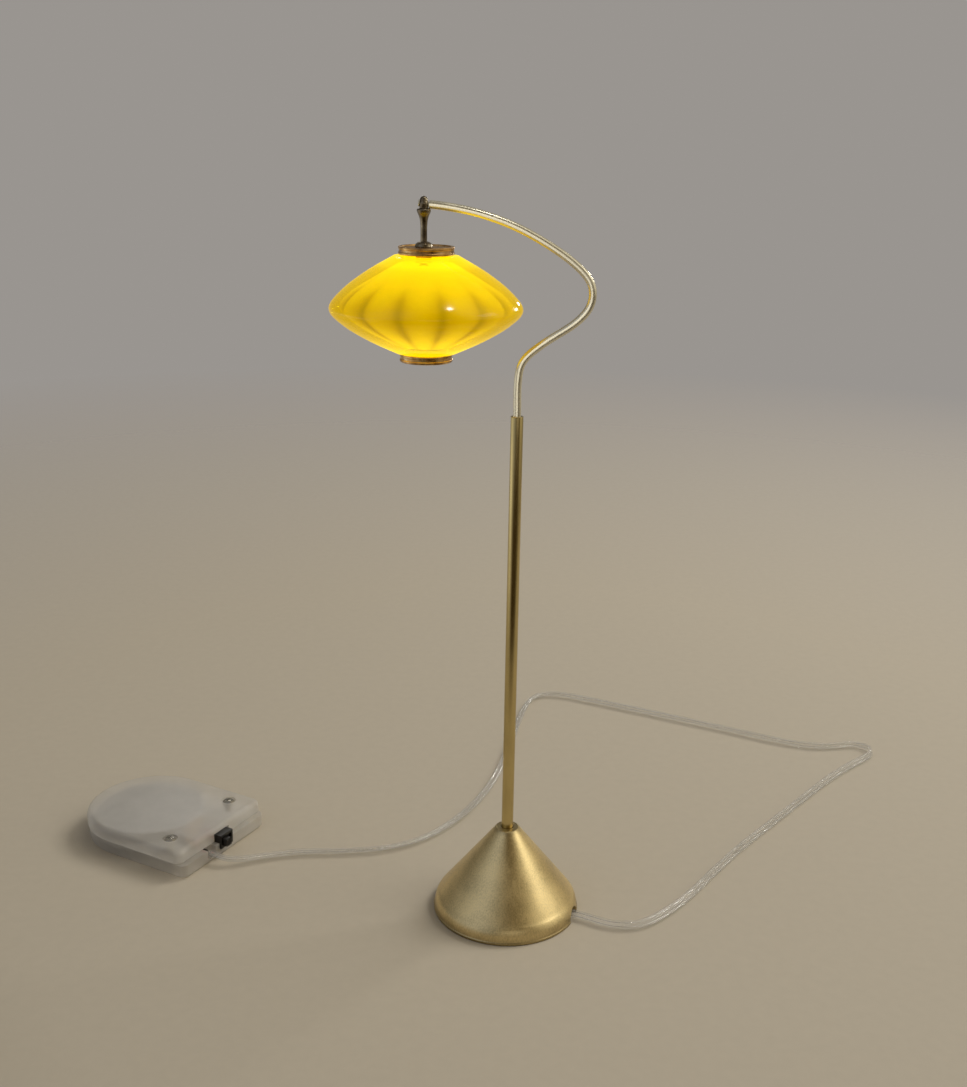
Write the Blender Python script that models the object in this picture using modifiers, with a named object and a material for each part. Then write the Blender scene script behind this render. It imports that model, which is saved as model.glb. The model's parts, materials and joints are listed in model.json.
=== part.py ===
"""Dollhouse arc floor lamp, lit by one LED and fed by a coin-cell case.

Metres, +Z up.  The origin is the centre of the conical foot, on the floor.
The pole rises along +Z, the arm bows out to +X and carries the shade back
over -X, and the battery case lies to the left and behind.
"""

import math

import bmesh
import bpy
from mathutils import Matrix, Vector

MM = 0.001

# Foot: a spun brass cone over a ballast slug and a felt pad.
FOOT_RADIUS = 12.5 * MM
FOOT_HEIGHT = 15.4 * MM
FOOT_SHOULDER = Vector((11.2 * MM, 3.4 * MM))
FOOT_CROWN_RADIUS = 1.95 * MM
FOOT_WALL = 0.7 * MM
LIP_HEIGHT = 0.5 * MM
PAD_RADIUS = 11.45 * MM
PAD_THICKNESS = 0.5 * MM
SLUG_BOTTOM = 0.8 * MM
SLUG_TOP = 10.0 * MM
NOTCH_ANGLE = math.radians(-18.0)
NOTCH_RADIUS = 2.0 * MM
CHANNEL_WIDTH = 2.4 * MM
CHANNEL_TOP = 2.3 * MM

# Pole and arm: two telescoped brass tubes.
POLE_RADIUS = 1.0 * MM
POLE_BORE = 0.68 * MM
POLE_BOTTOM = 2.6 * MM
POLE_TOP = 87.0 * MM
ARM_RADIUS = 0.625 * MM
ARM_BORE = 0.42 * MM
FIT_GAP = 0.06 * MM

# Centreline of the arm in the XZ plane, from its root inside the pole.
ARM_ROUTE = (
    (0.0, 79.2), (0.0, 88.0), (0.0, 92.6), (0.8, 95.8), (4.2, 98.7),
    (8.6, 101.6), (10.8, 104.4), (10.7, 107.6), (8.2, 110.4), (3.9, 113.3),
    (-1.2, 115.9), (-6.5, 117.65), (-11.0, 118.5), (-13.8, 118.8),
)

# Pivot at the arm's tip: a hollow pin through the ball-shaped eye.
PIN_RADIUS = 0.36 * MM
PIN_BORE = 0.18 * MM
EYE_RADIUS = 0.72 * MM
EYE_BORE = 0.44 * MM
EYE_OFFSET = 0.8 * MM
PIN_HEAD_RADIUS = 0.5 * MM
FINIAL_RADIUS = 0.6 * MM
LAMP_TOP = 120.0 * MM

# Shade: a double cone of yellow acrylic over a melon-ribbed core.
SHADE_TOP = 111.3 * MM
SHADE_BOTTOM = 96.8 * MM
SHADE_HOLE = 3.4 * MM
SHADE_WALL = 0.7 * MM
SHADE_SHIFT = 0.4 * MM
SHADE_CURVE = ((5.0, 111.3), (9.2, 108.85), (12.8, 106.1), (14.75, 103.45),
               (12.9, 101.2), (9.2, 98.9), (4.8, 96.8))
CORE_CURVE = ((4.2, 110.2), (8.0, 108.0), (11.6, 105.7), (13.2, 103.5),
              (11.6, 101.7), (8.0, 99.6), (4.2, 97.8))
CORE_WALL = 0.5 * MM
RIB_COUNT = 12
RIB_DEPTH = 0.9 * MM
RIB_PHASE = math.radians(13.5)
CAP_RADIUS = 4.25 * MM
CAP_HEIGHT = 1.2 * MM
CAP_GAP = 0.2 * MM
STEM_RADIUS = 0.5 * MM
STEM_BORE = 0.32 * MM
STEM_BOTTOM = 109.9 * MM
LED_RADIUS = 1.5 * MM
LED_BASE = 108.6 * MM
LED_TIP = 103.3 * MM

# Battery case, in its own frame: +X runs from the switch end to the round end.
CASE_FRONT = Vector((-51.7 * MM, 15.85 * MM, 0.0))
CASE_TURN = math.radians(151.6)
CASE_HALF_WIDTH = 11.9 * MM
CELL_CENTRE = 18.2 * MM
TRAY_HEIGHT = 2.7 * MM
COVER_FRONT = 1.2 * MM
COVER_BOTTOM = 2.9 * MM
CASE_HEIGHT = 5.3 * MM
CASE_FLOOR = 0.8 * MM
CELL_RADIUS = 10.0 * MM
CELL_BOTTOM = 1.25 * MM
CELL_HEIGHT = 3.1 * MM
CELL_POCKET = 10.3 * MM
BAY_START = 2.4 * MM
BAY_END = 8.6 * MM
BAY_HALF_WIDTH = 5.8 * MM
SCREW_X = 6.2 * MM
SCREW_Y = 8.3 * MM
SCREW_SHANK = 0.7 * MM
SCREW_HEAD = 1.15 * MM
SWITCH_SIZE = Vector((1.9, 3.4, 2.7)) * MM
SWITCH_CENTRE = Vector((0.9, 0.0, 2.8)) * MM
SWITCH_TRAVEL = 1.2 * MM
SLIDER_SIZE = Vector((1.6, 1.3, 1.5)) * MM
SLIDER_REACH = 1.1 * MM
LEAD_ENTRY = 4.0 * MM

# The clear twin lead, and the route of its centre over the floor.
LEAD_RADIUS = 0.8 * MM
LEAD_HEIGHT = 0.85 * MM
LEAD_STEP = 3.9 * MM
LEAD_ROUTE = (
    (8.5, -2.8, 0.85), (11.9, -3.9, 0.85), (14.6, -5.2, 0.85),
    (18.4, -6.9, 0.85), (23.0, -6.6, 0.85), (27.6, -3.0, 0.85),
    (32.7, 2.8, 0.85), (38.5, 11.0, 0.85), (45.0, 19.8, 0.85),
    (52.4, 28.8, 0.85), (60.3, 38.4, 0.85), (68.6, 48.3, 0.85),
    (75.4, 55.2, 0.85), (79.8, 59.2, 0.85), (80.7, 62.6, 0.85),
    (78.0, 64.6, 0.85), (74.0, 63.9, 0.85), (69.4, 63.4, 0.85),
    (64.0, 64.8, 0.85), (57.6, 67.8, 0.85), (49.5, 72.1, 0.85),
    (40.9, 76.4, 0.85), (30.9, 81.4, 0.85), (20.9, 86.2, 0.85),
    (13.4, 89.2, 0.85), (8.6, 88.2, 0.85), (6.0, 83.6, 0.85),
    (3.6, 73.0, 0.85), (1.4, 61.0, 0.85), (-0.6, 50.3, 0.85),
    (-2.8, 42.4, 0.85), (-5.2, 36.0, 0.85), (-8.0, 30.4, 0.85),
    (-11.1, 25.7, 0.85), (-14.7, 21.6, 0.85), (-19.5, 18.2, 0.85),
    (-25.3, 16.3, 0.85), (-32.5, 15.5, 0.85), (-39.0, 14.9, 0.85),
    (-44.3, 13.3, 0.95), (-48.2, 11.6, 1.2), (-51.0, 11.1, 1.55),
    (-53.0, 11.9, 1.75), (-54.4, 12.7, 1.75),
)

# Colours are linear RGB.
BRASS = (0.62, 0.45, 0.17)
DARK_BRASS = (0.30, 0.17, 0.06)
YELLOW = (0.95, 0.62, 0.01)
FROSTED = (0.72, 0.72, 0.70)


def clear_scene():
    for item in list(bpy.data.objects):
        bpy.data.objects.remove(item, do_unlink=True)


def new_collection(name):
    collection = bpy.data.collections.new(name)
    bpy.context.scene.collection.children.link(collection)
    return collection


def make_material(name, colour, roughness, metallic=0.0, alpha=1.0):
    material = bpy.data.materials.new(name)
    material.use_nodes = True
    shader = material.node_tree.nodes["Principled BSDF"]
    shader.inputs["Base Color"].default_value = (*colour, 1.0)
    shader.inputs["Roughness"].default_value = roughness
    shader.inputs["Metallic"].default_value = metallic
    shader.inputs["Alpha"].default_value = alpha
    return material


def millimetres(points):
    """Turn a tuple of millimetre points into metre vectors."""
    return [Vector(point) * MM for point in points]


def smooth_route(route, per_span):
    """Points of a Catmull-Rom curve through every point of the route."""
    points = [Vector(point) for point in route]
    ends = [2 * points[0] - points[1]] + points + [2 * points[-1] - points[-2]]
    result = []
    for a, b, c, d in zip(ends, ends[1:], ends[2:], ends[3:]):
        for step in range(per_span):
            t = step / per_span
            result.append(0.5 * (2 * b + (c - a) * t
                                 + (2 * a - 5 * b + 4 * c - d) * t ** 2
                                 + (3 * b - a - 3 * c + d) * t ** 3))
    result.append(points[-1])
    return result


def even_route(route, spacing):
    """A smooth curve through the route, with evenly spaced points."""
    fine = smooth_route(route, 16)
    total = sum((b - a).length for a, b in zip(fine, fine[1:]))
    count = max(2, round(total / spacing))
    result = [fine[0]]
    travelled = 0.0
    for a, b in zip(fine, fine[1:]):
        length = (b - a).length
        while len(result) < count and travelled + length >= len(result) * total / count:
            t = (len(result) * total / count - travelled) / length
            result.append(a.lerp(b, t))
        travelled += length
    result.append(fine[-1])
    return result


class Workshop:
    """Makes named parts and cutters in their two collections."""

    def __init__(self, parts, cutters):
        self.parts = parts
        self.cutters = cutters

    def add(self, item, material=None, parent=None):
        """File an object as a part when it has a material, else as a cutter."""
        for collection in list(item.users_collection):
            collection.objects.unlink(item)
        if material is None:
            self.cutters.objects.link(item)
            item.hide_render = True
            item.display_type = "WIRE"
        else:
            self.parts.objects.link(item)
            item.data.materials.clear()
            item.data.materials.append(material)
        if parent is not None:
            item.parent = parent
        return item

    def empty(self, name, location, turn=0.0):
        item = bpy.data.objects.new(name, None)
        item.location = location
        item.rotation_euler = (0.0, 0.0, turn)
        self.parts.objects.link(item)
        return item

    def turned(self, name, profile, material=None, closed=True, steps=32, centre=(0.0, 0.0),
               parent=None):
        """A profile of (radius, height) points, turned about a vertical axis."""
        mesh = bpy.data.meshes.new(name)
        vertices = [(radius, 0.0, height) for radius, height in profile]
        edges = [(i, i + 1) for i in range(len(vertices) - 1)]
        if closed:
            edges.append((len(vertices) - 1, 0))
        mesh.from_pydata(vertices, edges, [])
        item = bpy.data.objects.new(name, mesh)
        item.location = (centre[0], centre[1], 0.0)
        screw = item.modifiers.new("turn", "SCREW")
        screw.steps = steps
        screw.render_steps = steps
        screw.use_merge_vertices = True
        screw.merge_threshold = 0.001 * MM
        screw.use_smooth_shade = False
        return self.add(item, material, parent)

    def wire(self, name, points, radius, material, sides=1, hollow=0.0, parent=None):
        """A round wire along the points, or a tube when hollow gives its wall."""
        curve = bpy.data.curves.new(name, "CURVE")
        curve.dimensions = "3D"
        curve.bevel_depth = radius
        curve.bevel_resolution = sides
        curve.use_fill_caps = hollow == 0.0
        spline = curve.splines.new("POLY")
        spline.points.add(len(points) - 1)
        for target, point in zip(spline.points, points):
            target.co = (*point, 1.0)
        item = bpy.data.objects.new(name, curve)
        if hollow:
            shell = item.modifiers.new("wall", "SOLIDIFY")
            shell.thickness = hollow
            shell.offset = -1.0
        return self.add(item, material, parent)

    def box(self, name, low, high, material=None, parent=None):
        """A box between two opposite corners."""
        low = Vector(low)
        high = Vector(high)
        mesh = bpy.data.meshes.new(name)
        shape = bmesh.new()
        bmesh.ops.create_cube(shape, size=1.0)
        bmesh.ops.scale(shape, vec=high - low, verts=shape.verts)
        bmesh.ops.translate(shape, vec=(low + high) / 2, verts=shape.verts)
        shape.to_mesh(mesh)
        shape.free()
        item = bpy.data.objects.new(name, mesh)
        return self.add(item, material, parent)

    def cylinder(self, name, radius, start, end, material=None, parent=None, sides=24):
        """A cylinder between two points."""
        start = Vector(start)
        axis = Vector(end) - start
        mesh = bpy.data.meshes.new(name)
        shape = bmesh.new()
        bmesh.ops.create_cone(shape, cap_ends=True, segments=sides, radius1=radius,
                              radius2=radius, depth=axis.length)
        turn = axis.to_track_quat("Z", "Y").to_matrix().to_4x4()
        place = Matrix.Translation(start + axis / 2) @ turn
        bmesh.ops.transform(shape, matrix=place, verts=shape.verts)
        shape.to_mesh(mesh)
        shape.free()
        item = bpy.data.objects.new(name, mesh)
        return self.add(item, material, parent)

    def slab(self, name, outline, bottom, top, material=None, parent=None):
        """A flat outline of (x, y) points, thickened between two heights."""
        curve = bpy.data.curves.new(name, "CURVE")
        curve.dimensions = "2D"
        curve.fill_mode = "BOTH"
        curve.extrude = (top - bottom) / 2
        spline = curve.splines.new("POLY")
        spline.points.add(len(outline) - 1)
        for target, point in zip(spline.points, outline):
            target.co = (point[0], point[1], 0.0, 1.0)
        spline.use_cyclic_u = True
        source = bpy.data.objects.new(name + "_outline", curve)
        bpy.context.scene.collection.objects.link(source)
        evaluated = source.evaluated_get(bpy.context.evaluated_depsgraph_get())
        mesh = bpy.data.meshes.new_from_object(evaluated)
        bpy.data.objects.remove(source, do_unlink=True)
        shape = bmesh.new()
        shape.from_mesh(mesh)
        bmesh.ops.remove_doubles(shape, verts=shape.verts, dist=0.001 * MM)
        bmesh.ops.translate(shape, vec=(0.0, 0.0, (top + bottom) / 2), verts=shape.verts)
        shape.to_mesh(mesh)
        shape.free()
        item = bpy.data.objects.new(name, mesh)
        return self.add(item, material, parent)

    def combine(self, item, other, operation="DIFFERENCE"):
        boolean = item.modifiers.new(other.name, "BOOLEAN")
        boolean.operation = operation
        boolean.solver = "EXACT"
        boolean.object = other


def soften(item, width, segments=1, angle=40.0):
    bevel = item.modifiers.new("edges", "BEVEL")
    bevel.width = width
    bevel.segments = segments
    bevel.limit_method = "ANGLE"
    bevel.angle_limit = math.radians(angle)


def radial(distance, height, sideways=0.0):
    """A point along the direction of the cable notch."""
    along = Vector((math.cos(NOTCH_ANGLE), math.sin(NOTCH_ANGLE), 0.0))
    across = Vector((-along.y, along.x, 0.0))
    return along * distance + across * sideways + Vector((0.0, 0.0, height))


def build_foot(shop, brass, iron, felt):
    slope = (FOOT_SHOULDER.x - FOOT_CROWN_RADIUS) / (FOOT_HEIGHT - FOOT_SHOULDER.y)
    hole = POLE_RADIUS + FIT_GAP
    profile = [
        (hole, FOOT_HEIGHT),
        (FOOT_CROWN_RADIUS - 0.25 * MM, FOOT_HEIGHT),
        (FOOT_CROWN_RADIUS, FOOT_HEIGHT - 0.25 * MM),
        tuple(FOOT_SHOULDER),
    ]
    rise = FOOT_SHOULDER.y - LIP_HEIGHT
    for angle in (35.0, 55.0, 72.0, 86.0):
        turn = math.radians(angle)
        run = (math.sin(turn) - math.sin(math.radians(20.0))) / (1 - math.sin(math.radians(20.0)))
        profile.append((FOOT_SHOULDER.x + (FOOT_RADIUS - 0.12 * MM - FOOT_SHOULDER.x) * run,
                        LIP_HEIGHT + rise * math.cos(turn)))
    profile += [
        (FOOT_RADIUS, LIP_HEIGHT),
        (FOOT_RADIUS, 0.0),
        (FOOT_RADIUS - FOOT_WALL, 0.0),
        (FOOT_RADIUS - FOOT_WALL - 0.2 * MM, 1.2 * MM),
        (FOOT_SHOULDER.x - FOOT_WALL, FOOT_SHOULDER.y - 0.2 * MM),
    ]
    inner_top = FOOT_HEIGHT - 1.6 * MM
    inner_radius = FOOT_SHOULDER.x - FOOT_WALL - slope * (inner_top - FOOT_SHOULDER.y + 0.2 * MM)
    profile += [(inner_radius, inner_top), (hole, inner_top)]
    cone = shop.turned("base_cone", profile, brass, steps=48)
    notch = shop.cylinder("notch_cutter", NOTCH_RADIUS, radial(9.6 * MM, 0.0),
                          radial(14.0 * MM, 0.0), sides=20)
    shop.combine(cone, notch)

    slug_profile = [
        (POLE_RADIUS + 0.1 * MM, SLUG_TOP),
        (4.6 * MM, SLUG_TOP),
        (9.9 * MM, 3.3 * MM),
        (10.9 * MM, 1.8 * MM),
        (10.9 * MM, SLUG_BOTTOM),
        (POLE_RADIUS + 0.1 * MM, SLUG_BOTTOM),
    ]
    slug = shop.turned("base_weight", slug_profile, iron)
    channel = shop.box("channel_cutter", (-1.3 * MM, -CHANNEL_WIDTH / 2, 0.0),
                       (FOOT_RADIUS, CHANNEL_WIDTH / 2, CHANNEL_TOP))
    channel.rotation_euler = (0.0, 0.0, NOTCH_ANGLE)
    shop.combine(slug, channel)

    pad_profile = [(0.0, PAD_THICKNESS), (PAD_RADIUS, PAD_THICKNESS), (PAD_RADIUS, 0.0), (0.0, 0.0)]
    pad = shop.turned("base_pad", pad_profile, felt, closed=False)
    slot = shop.box("pad_slot_cutter", (7.6 * MM, -1.5 * MM, -MM), (13.0 * MM, 1.5 * MM, MM))
    slot.rotation_euler = (0.0, 0.0, NOTCH_ANGLE)
    shop.combine(pad, slot)


def build_pole(shop, brass, red, black):
    shop.wire("pole_tube", [Vector((0.0, 0.0, POLE_BOTTOM)), Vector((0.0, 0.0, POLE_TOP))],
              POLE_RADIUS, brass, sides=9, hollow=POLE_RADIUS - POLE_BORE)
    bend = ((8.2, 0.85), (5.0, 0.9), (2.5, 1.0), (1.2, 1.3), (0.45, 1.9), (0.12, 2.7),
            (0.0, 3.7), (0.0, 40.0), (0.0, 78.6))
    for name, side, colour in (("pole_wire_pos", 0.22 * MM, red), ("pole_wire_neg", -0.22 * MM, black)):
        points = [radial(x * MM, z * MM, side) for x, z in bend]
        shop.wire(name, points, 0.15 * MM, colour)


def ball_profile(radius, height, steps=8):
    """Half a circle of (radius, height) points, from the top to the bottom."""
    inner = [math.pi * i / steps for i in range(1, steps)]
    arc = [(radius * math.sin(turn), height + radius * math.cos(turn)) for turn in inner]
    return [(0.0, height + radius)] + arc + [(0.0, height - radius)]


def arm_centreline(per_span=2):
    return [Vector((x, 0.0, z)) * MM for x, z in smooth_route(ARM_ROUTE, per_span)]


def tip_frame():
    """The arm's end point and the direction in which it points."""
    last = Vector((ARM_ROUTE[-1][0], 0.0, ARM_ROUTE[-1][1])) * MM
    before = Vector((ARM_ROUTE[-2][0], 0.0, ARM_ROUTE[-2][1])) * MM
    return last, (last - before).normalized()


def build_arm(shop, brass, red, black):
    points = arm_centreline()
    shop.wire("arm_tube", points, ARM_RADIUS, brass, sides=4, hollow=ARM_RADIUS - ARM_BORE)
    end, direction = tip_frame()
    inside = points[:-1] + [end - direction * 1.7 * MM]
    for name, side, colour in (("arm_wire_pos", 0.17 * MM, red), ("arm_wire_neg", -0.17 * MM, black)):
        shifted = [point + Vector((0.0, side, 0.0)) for point in inside]
        shop.wire(name, shifted, 0.13 * MM, colour)

    head = EYE_OFFSET + 0.62 * MM
    profile = [
        (PIN_BORE, head + 0.22 * MM),
        (PIN_HEAD_RADIUS - 0.12 * MM, head + 0.22 * MM),
        (PIN_HEAD_RADIUS, head + 0.1 * MM),
        (PIN_HEAD_RADIUS, head),
        (PIN_RADIUS, head),
        (PIN_RADIUS, -1.4 * MM),
        (PIN_BORE, -1.4 * MM),
    ]
    pin = shop.turned("arm_tip_pin", profile, brass, steps=16)
    pin.location = end
    pin.rotation_euler = direction.to_track_quat("Z", "Y").to_euler()


def build_shade(shop, brass, dark, yellow, core_yellow, clear, tin, red, black):
    end, direction = tip_frame()
    pivot = end + direction * EYE_OFFSET
    axis = (pivot.x, 0.0)
    shade_axis = (pivot.x + SHADE_SHIFT, 0.0)

    stem_profile = [
        (0.0, pivot.z - 0.5 * MM),
        (0.66 * MM, pivot.z - 0.7 * MM),
        (1.0 * MM, pivot.z - 0.78 * MM),
        (1.1 * MM, pivot.z - 0.95 * MM),
        (0.98 * MM, pivot.z - 1.3 * MM),
        (0.75 * MM, pivot.z - 1.8 * MM),
        (0.58 * MM, pivot.z - 2.5 * MM),
        (STEM_RADIUS, pivot.z - 3.4 * MM),
        (STEM_RADIUS, STEM_BOTTOM),
        (0.0, STEM_BOTTOM),
    ]
    stem = shop.turned("drop_stem", stem_profile, dark, closed=False, steps=20, centre=axis)
    finial_height = LAMP_TOP - FINIAL_RADIUS
    for name, radius, height in (("eye_form", EYE_RADIUS, pivot.z),
                                 ("finial_form", FINIAL_RADIUS, finial_height)):
        ball = shop.turned(name, ball_profile(radius, height), closed=False, steps=20, centre=axis)
        shop.combine(stem, ball, "UNION")
    bore = shop.cylinder("eye_bore_cutter", EYE_BORE, pivot - direction * 1.5 * MM,
                         pivot + direction * 1.5 * MM)
    shop.combine(stem, bore)
    way = shop.cylinder("stem_bore_cutter", STEM_BORE, (pivot.x, 0.0, STEM_BOTTOM - MM),
                        pivot, sides=16)
    shop.combine(stem, way)

    cap_bottom = SHADE_TOP + CAP_GAP
    cap_top = cap_bottom + CAP_HEIGHT
    sleeve = STEM_RADIUS + FIT_GAP
    cap = shop.turned("shade_cap_top", [
        (0.0, cap_top - 0.2 * MM), (3.7 * MM, cap_top - 0.2 * MM), (3.85 * MM, cap_top),
        (CAP_RADIUS - 0.12 * MM, cap_top), (CAP_RADIUS, cap_top - 0.12 * MM),
        (CAP_RADIUS, cap_bottom + 0.1 * MM), (CAP_RADIUS - 0.1 * MM, cap_bottom),
        (0.0, cap_bottom),
    ], brass, closed=False, centre=shade_axis)
    hole = shop.cylinder("cap_hole_cutter", sleeve, (pivot.x, 0.0, cap_bottom - MM),
                         (pivot.x, 0.0, cap_top + MM))
    shop.combine(cap, hole)
    collar_bottom = cap_top - 0.1 * MM
    shop.turned("cap_collar", [
        (sleeve, collar_bottom + 0.8 * MM), (0.85 * MM, collar_bottom + 0.72 * MM),
        (1.25 * MM, collar_bottom + 0.42 * MM), (1.4 * MM, collar_bottom), (sleeve, collar_bottom),
    ], dark, steps=20, centre=axis)
    shop.turned("stem_ferrule", [
        (sleeve, SHADE_TOP - 0.1 * MM), (1.2 * MM, SHADE_TOP - 0.1 * MM),
        (1.2 * MM, SHADE_TOP - 1.0 * MM), (sleeve, SHADE_TOP - 1.0 * MM),
    ], brass, steps=16, centre=axis)

    outline = [(SHADE_HOLE, SHADE_TOP)]
    outline += [(r * MM, z * MM) for r, z in smooth_route(SHADE_CURVE, 2)]
    outline.append((SHADE_HOLE, SHADE_BOTTOM))
    shell = shop.turned("shade_shell", outline, yellow, closed=False, steps=40, centre=shade_axis)
    wall = shell.modifiers.new("wall", "SOLIDIFY")
    wall.thickness = SHADE_WALL
    wall.offset = -1.0
    wall.use_even_offset = True

    build_core(shop, core_yellow, shade_axis[0])

    low_top = SHADE_BOTTOM - CAP_GAP
    low_radius = CAP_RADIUS - 0.2 * MM
    shop.turned("shade_cap_bottom", [
        (0.0, low_top), (low_radius - 0.1 * MM, low_top), (low_radius, low_top - 0.1 * MM),
        (low_radius, low_top - CAP_HEIGHT + 0.12 * MM),
        (low_radius - 0.12 * MM, low_top - CAP_HEIGHT), (3.6 * MM, low_top - CAP_HEIGHT),
        (3.45 * MM, low_top - CAP_HEIGHT + 0.2 * MM), (0.0, low_top - CAP_HEIGHT + 0.2 * MM),
    ], brass, closed=False, centre=shade_axis)

    led_profile = [(0.0, LED_BASE), (1.9 * MM, LED_BASE), (1.9 * MM, LED_BASE - MM),
                   (LED_RADIUS, LED_BASE - MM)]
    for step in range(5):
        turn = math.radians(22.5 * step)
        led_profile.append((LED_RADIUS * math.cos(turn),
                            LED_TIP + LED_RADIUS * (1 - math.sin(turn))))
    led_profile[-1] = (0.0, LED_TIP)
    shop.turned("led_body", led_profile, clear, closed=False, steps=20, centre=axis)
    for pole, side, colour in (("anode", 1, red), ("cathode", -1, black)):
        centre = pivot.x + side * 0.64 * MM
        shop.box("led_" + pole, (centre - 0.2 * MM, -0.2 * MM, LED_BASE + 0.1 * MM),
                 (centre + 0.2 * MM, 0.2 * MM, LED_BASE + 0.9 * MM), tin)
        name = "drop_wire_pos" if side > 0 else "drop_wire_neg"
        offsets = ((0.15, 118.0), (0.15, 114.0), (0.15, 110.3), (0.34, 110.0), (0.56, 109.8),
                   (0.64, 109.6))
        points = [Vector((pivot.x + side * x * MM, 0.0, z * MM)) for x, z in offsets]
        shop.wire(name, points, 0.11 * MM, colour)


def build_core(shop, material, axis_x):
    """The melon-ribbed core: a turned sheet whose radius dips at each valley."""
    curve = smooth_route(CORE_CURVE, 1)
    shape = bmesh.new()
    rim = [shape.verts.new((r * MM, 0.0, z * MM)) for r, z in curve]
    sides = [shape.edges.new(pair) for pair in zip(rim, rim[1:])]
    bmesh.ops.rotate(shape, verts=rim, matrix=Matrix.Rotation(RIB_PHASE, 3, "Z"))
    bmesh.ops.spin(shape, geom=rim + sides, angle=math.tau, steps=RIB_COUNT * 4,
                   axis=(0.0, 0.0, 1.0), use_merge=True)
    bmesh.ops.remove_doubles(shape, verts=shape.verts, dist=0.001 * MM)
    widest = max(r for r, _ in curve) * MM
    for vertex in shape.verts:
        radius = vertex.co.xy.length
        angle = math.atan2(vertex.co.y, vertex.co.x) - RIB_PHASE
        swell = abs(math.sin(RIB_COUNT / 2 * angle))
        dip = RIB_DEPTH * (1 - swell) * (radius / widest) ** 2
        vertex.co.xy *= (radius - dip) / radius
    bmesh.ops.recalc_face_normals(shape, faces=shape.faces)
    middle = shape.faces[0]
    if middle.normal.xy.dot(middle.calc_center_median().xy) < 0:
        bmesh.ops.reverse_faces(shape, faces=shape.faces)
    mesh = bpy.data.meshes.new("shade_core")
    shape.to_mesh(mesh)
    shape.free()
    core = bpy.data.objects.new("shade_core", mesh)
    core.location = (axis_x, 0.0, 0.0)
    wall = core.modifiers.new("wall", "SOLIDIFY")
    wall.thickness = CORE_WALL
    wall.offset = -1.0
    shop.add(core, material)


def case_outline(front, inset=0.0):
    """Flat switch end with eased corners, straight sides and a round far end."""
    half = CASE_HALF_WIDTH - inset
    ease = 1.4 * MM
    points = [(front + inset, half - ease), (front + inset, -half + ease),
              (front + inset + ease * 0.3, -half + ease * 0.3), (front + inset + ease, -half)]
    for step in range(21):
        turn = math.radians(-90 + 9 * step)
        points.append((CELL_CENTRE + half * math.cos(turn), half * math.sin(turn)))
    points += [(front + inset + ease, half), (front + inset + ease * 0.3, half - ease * 0.3)]
    return points


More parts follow.
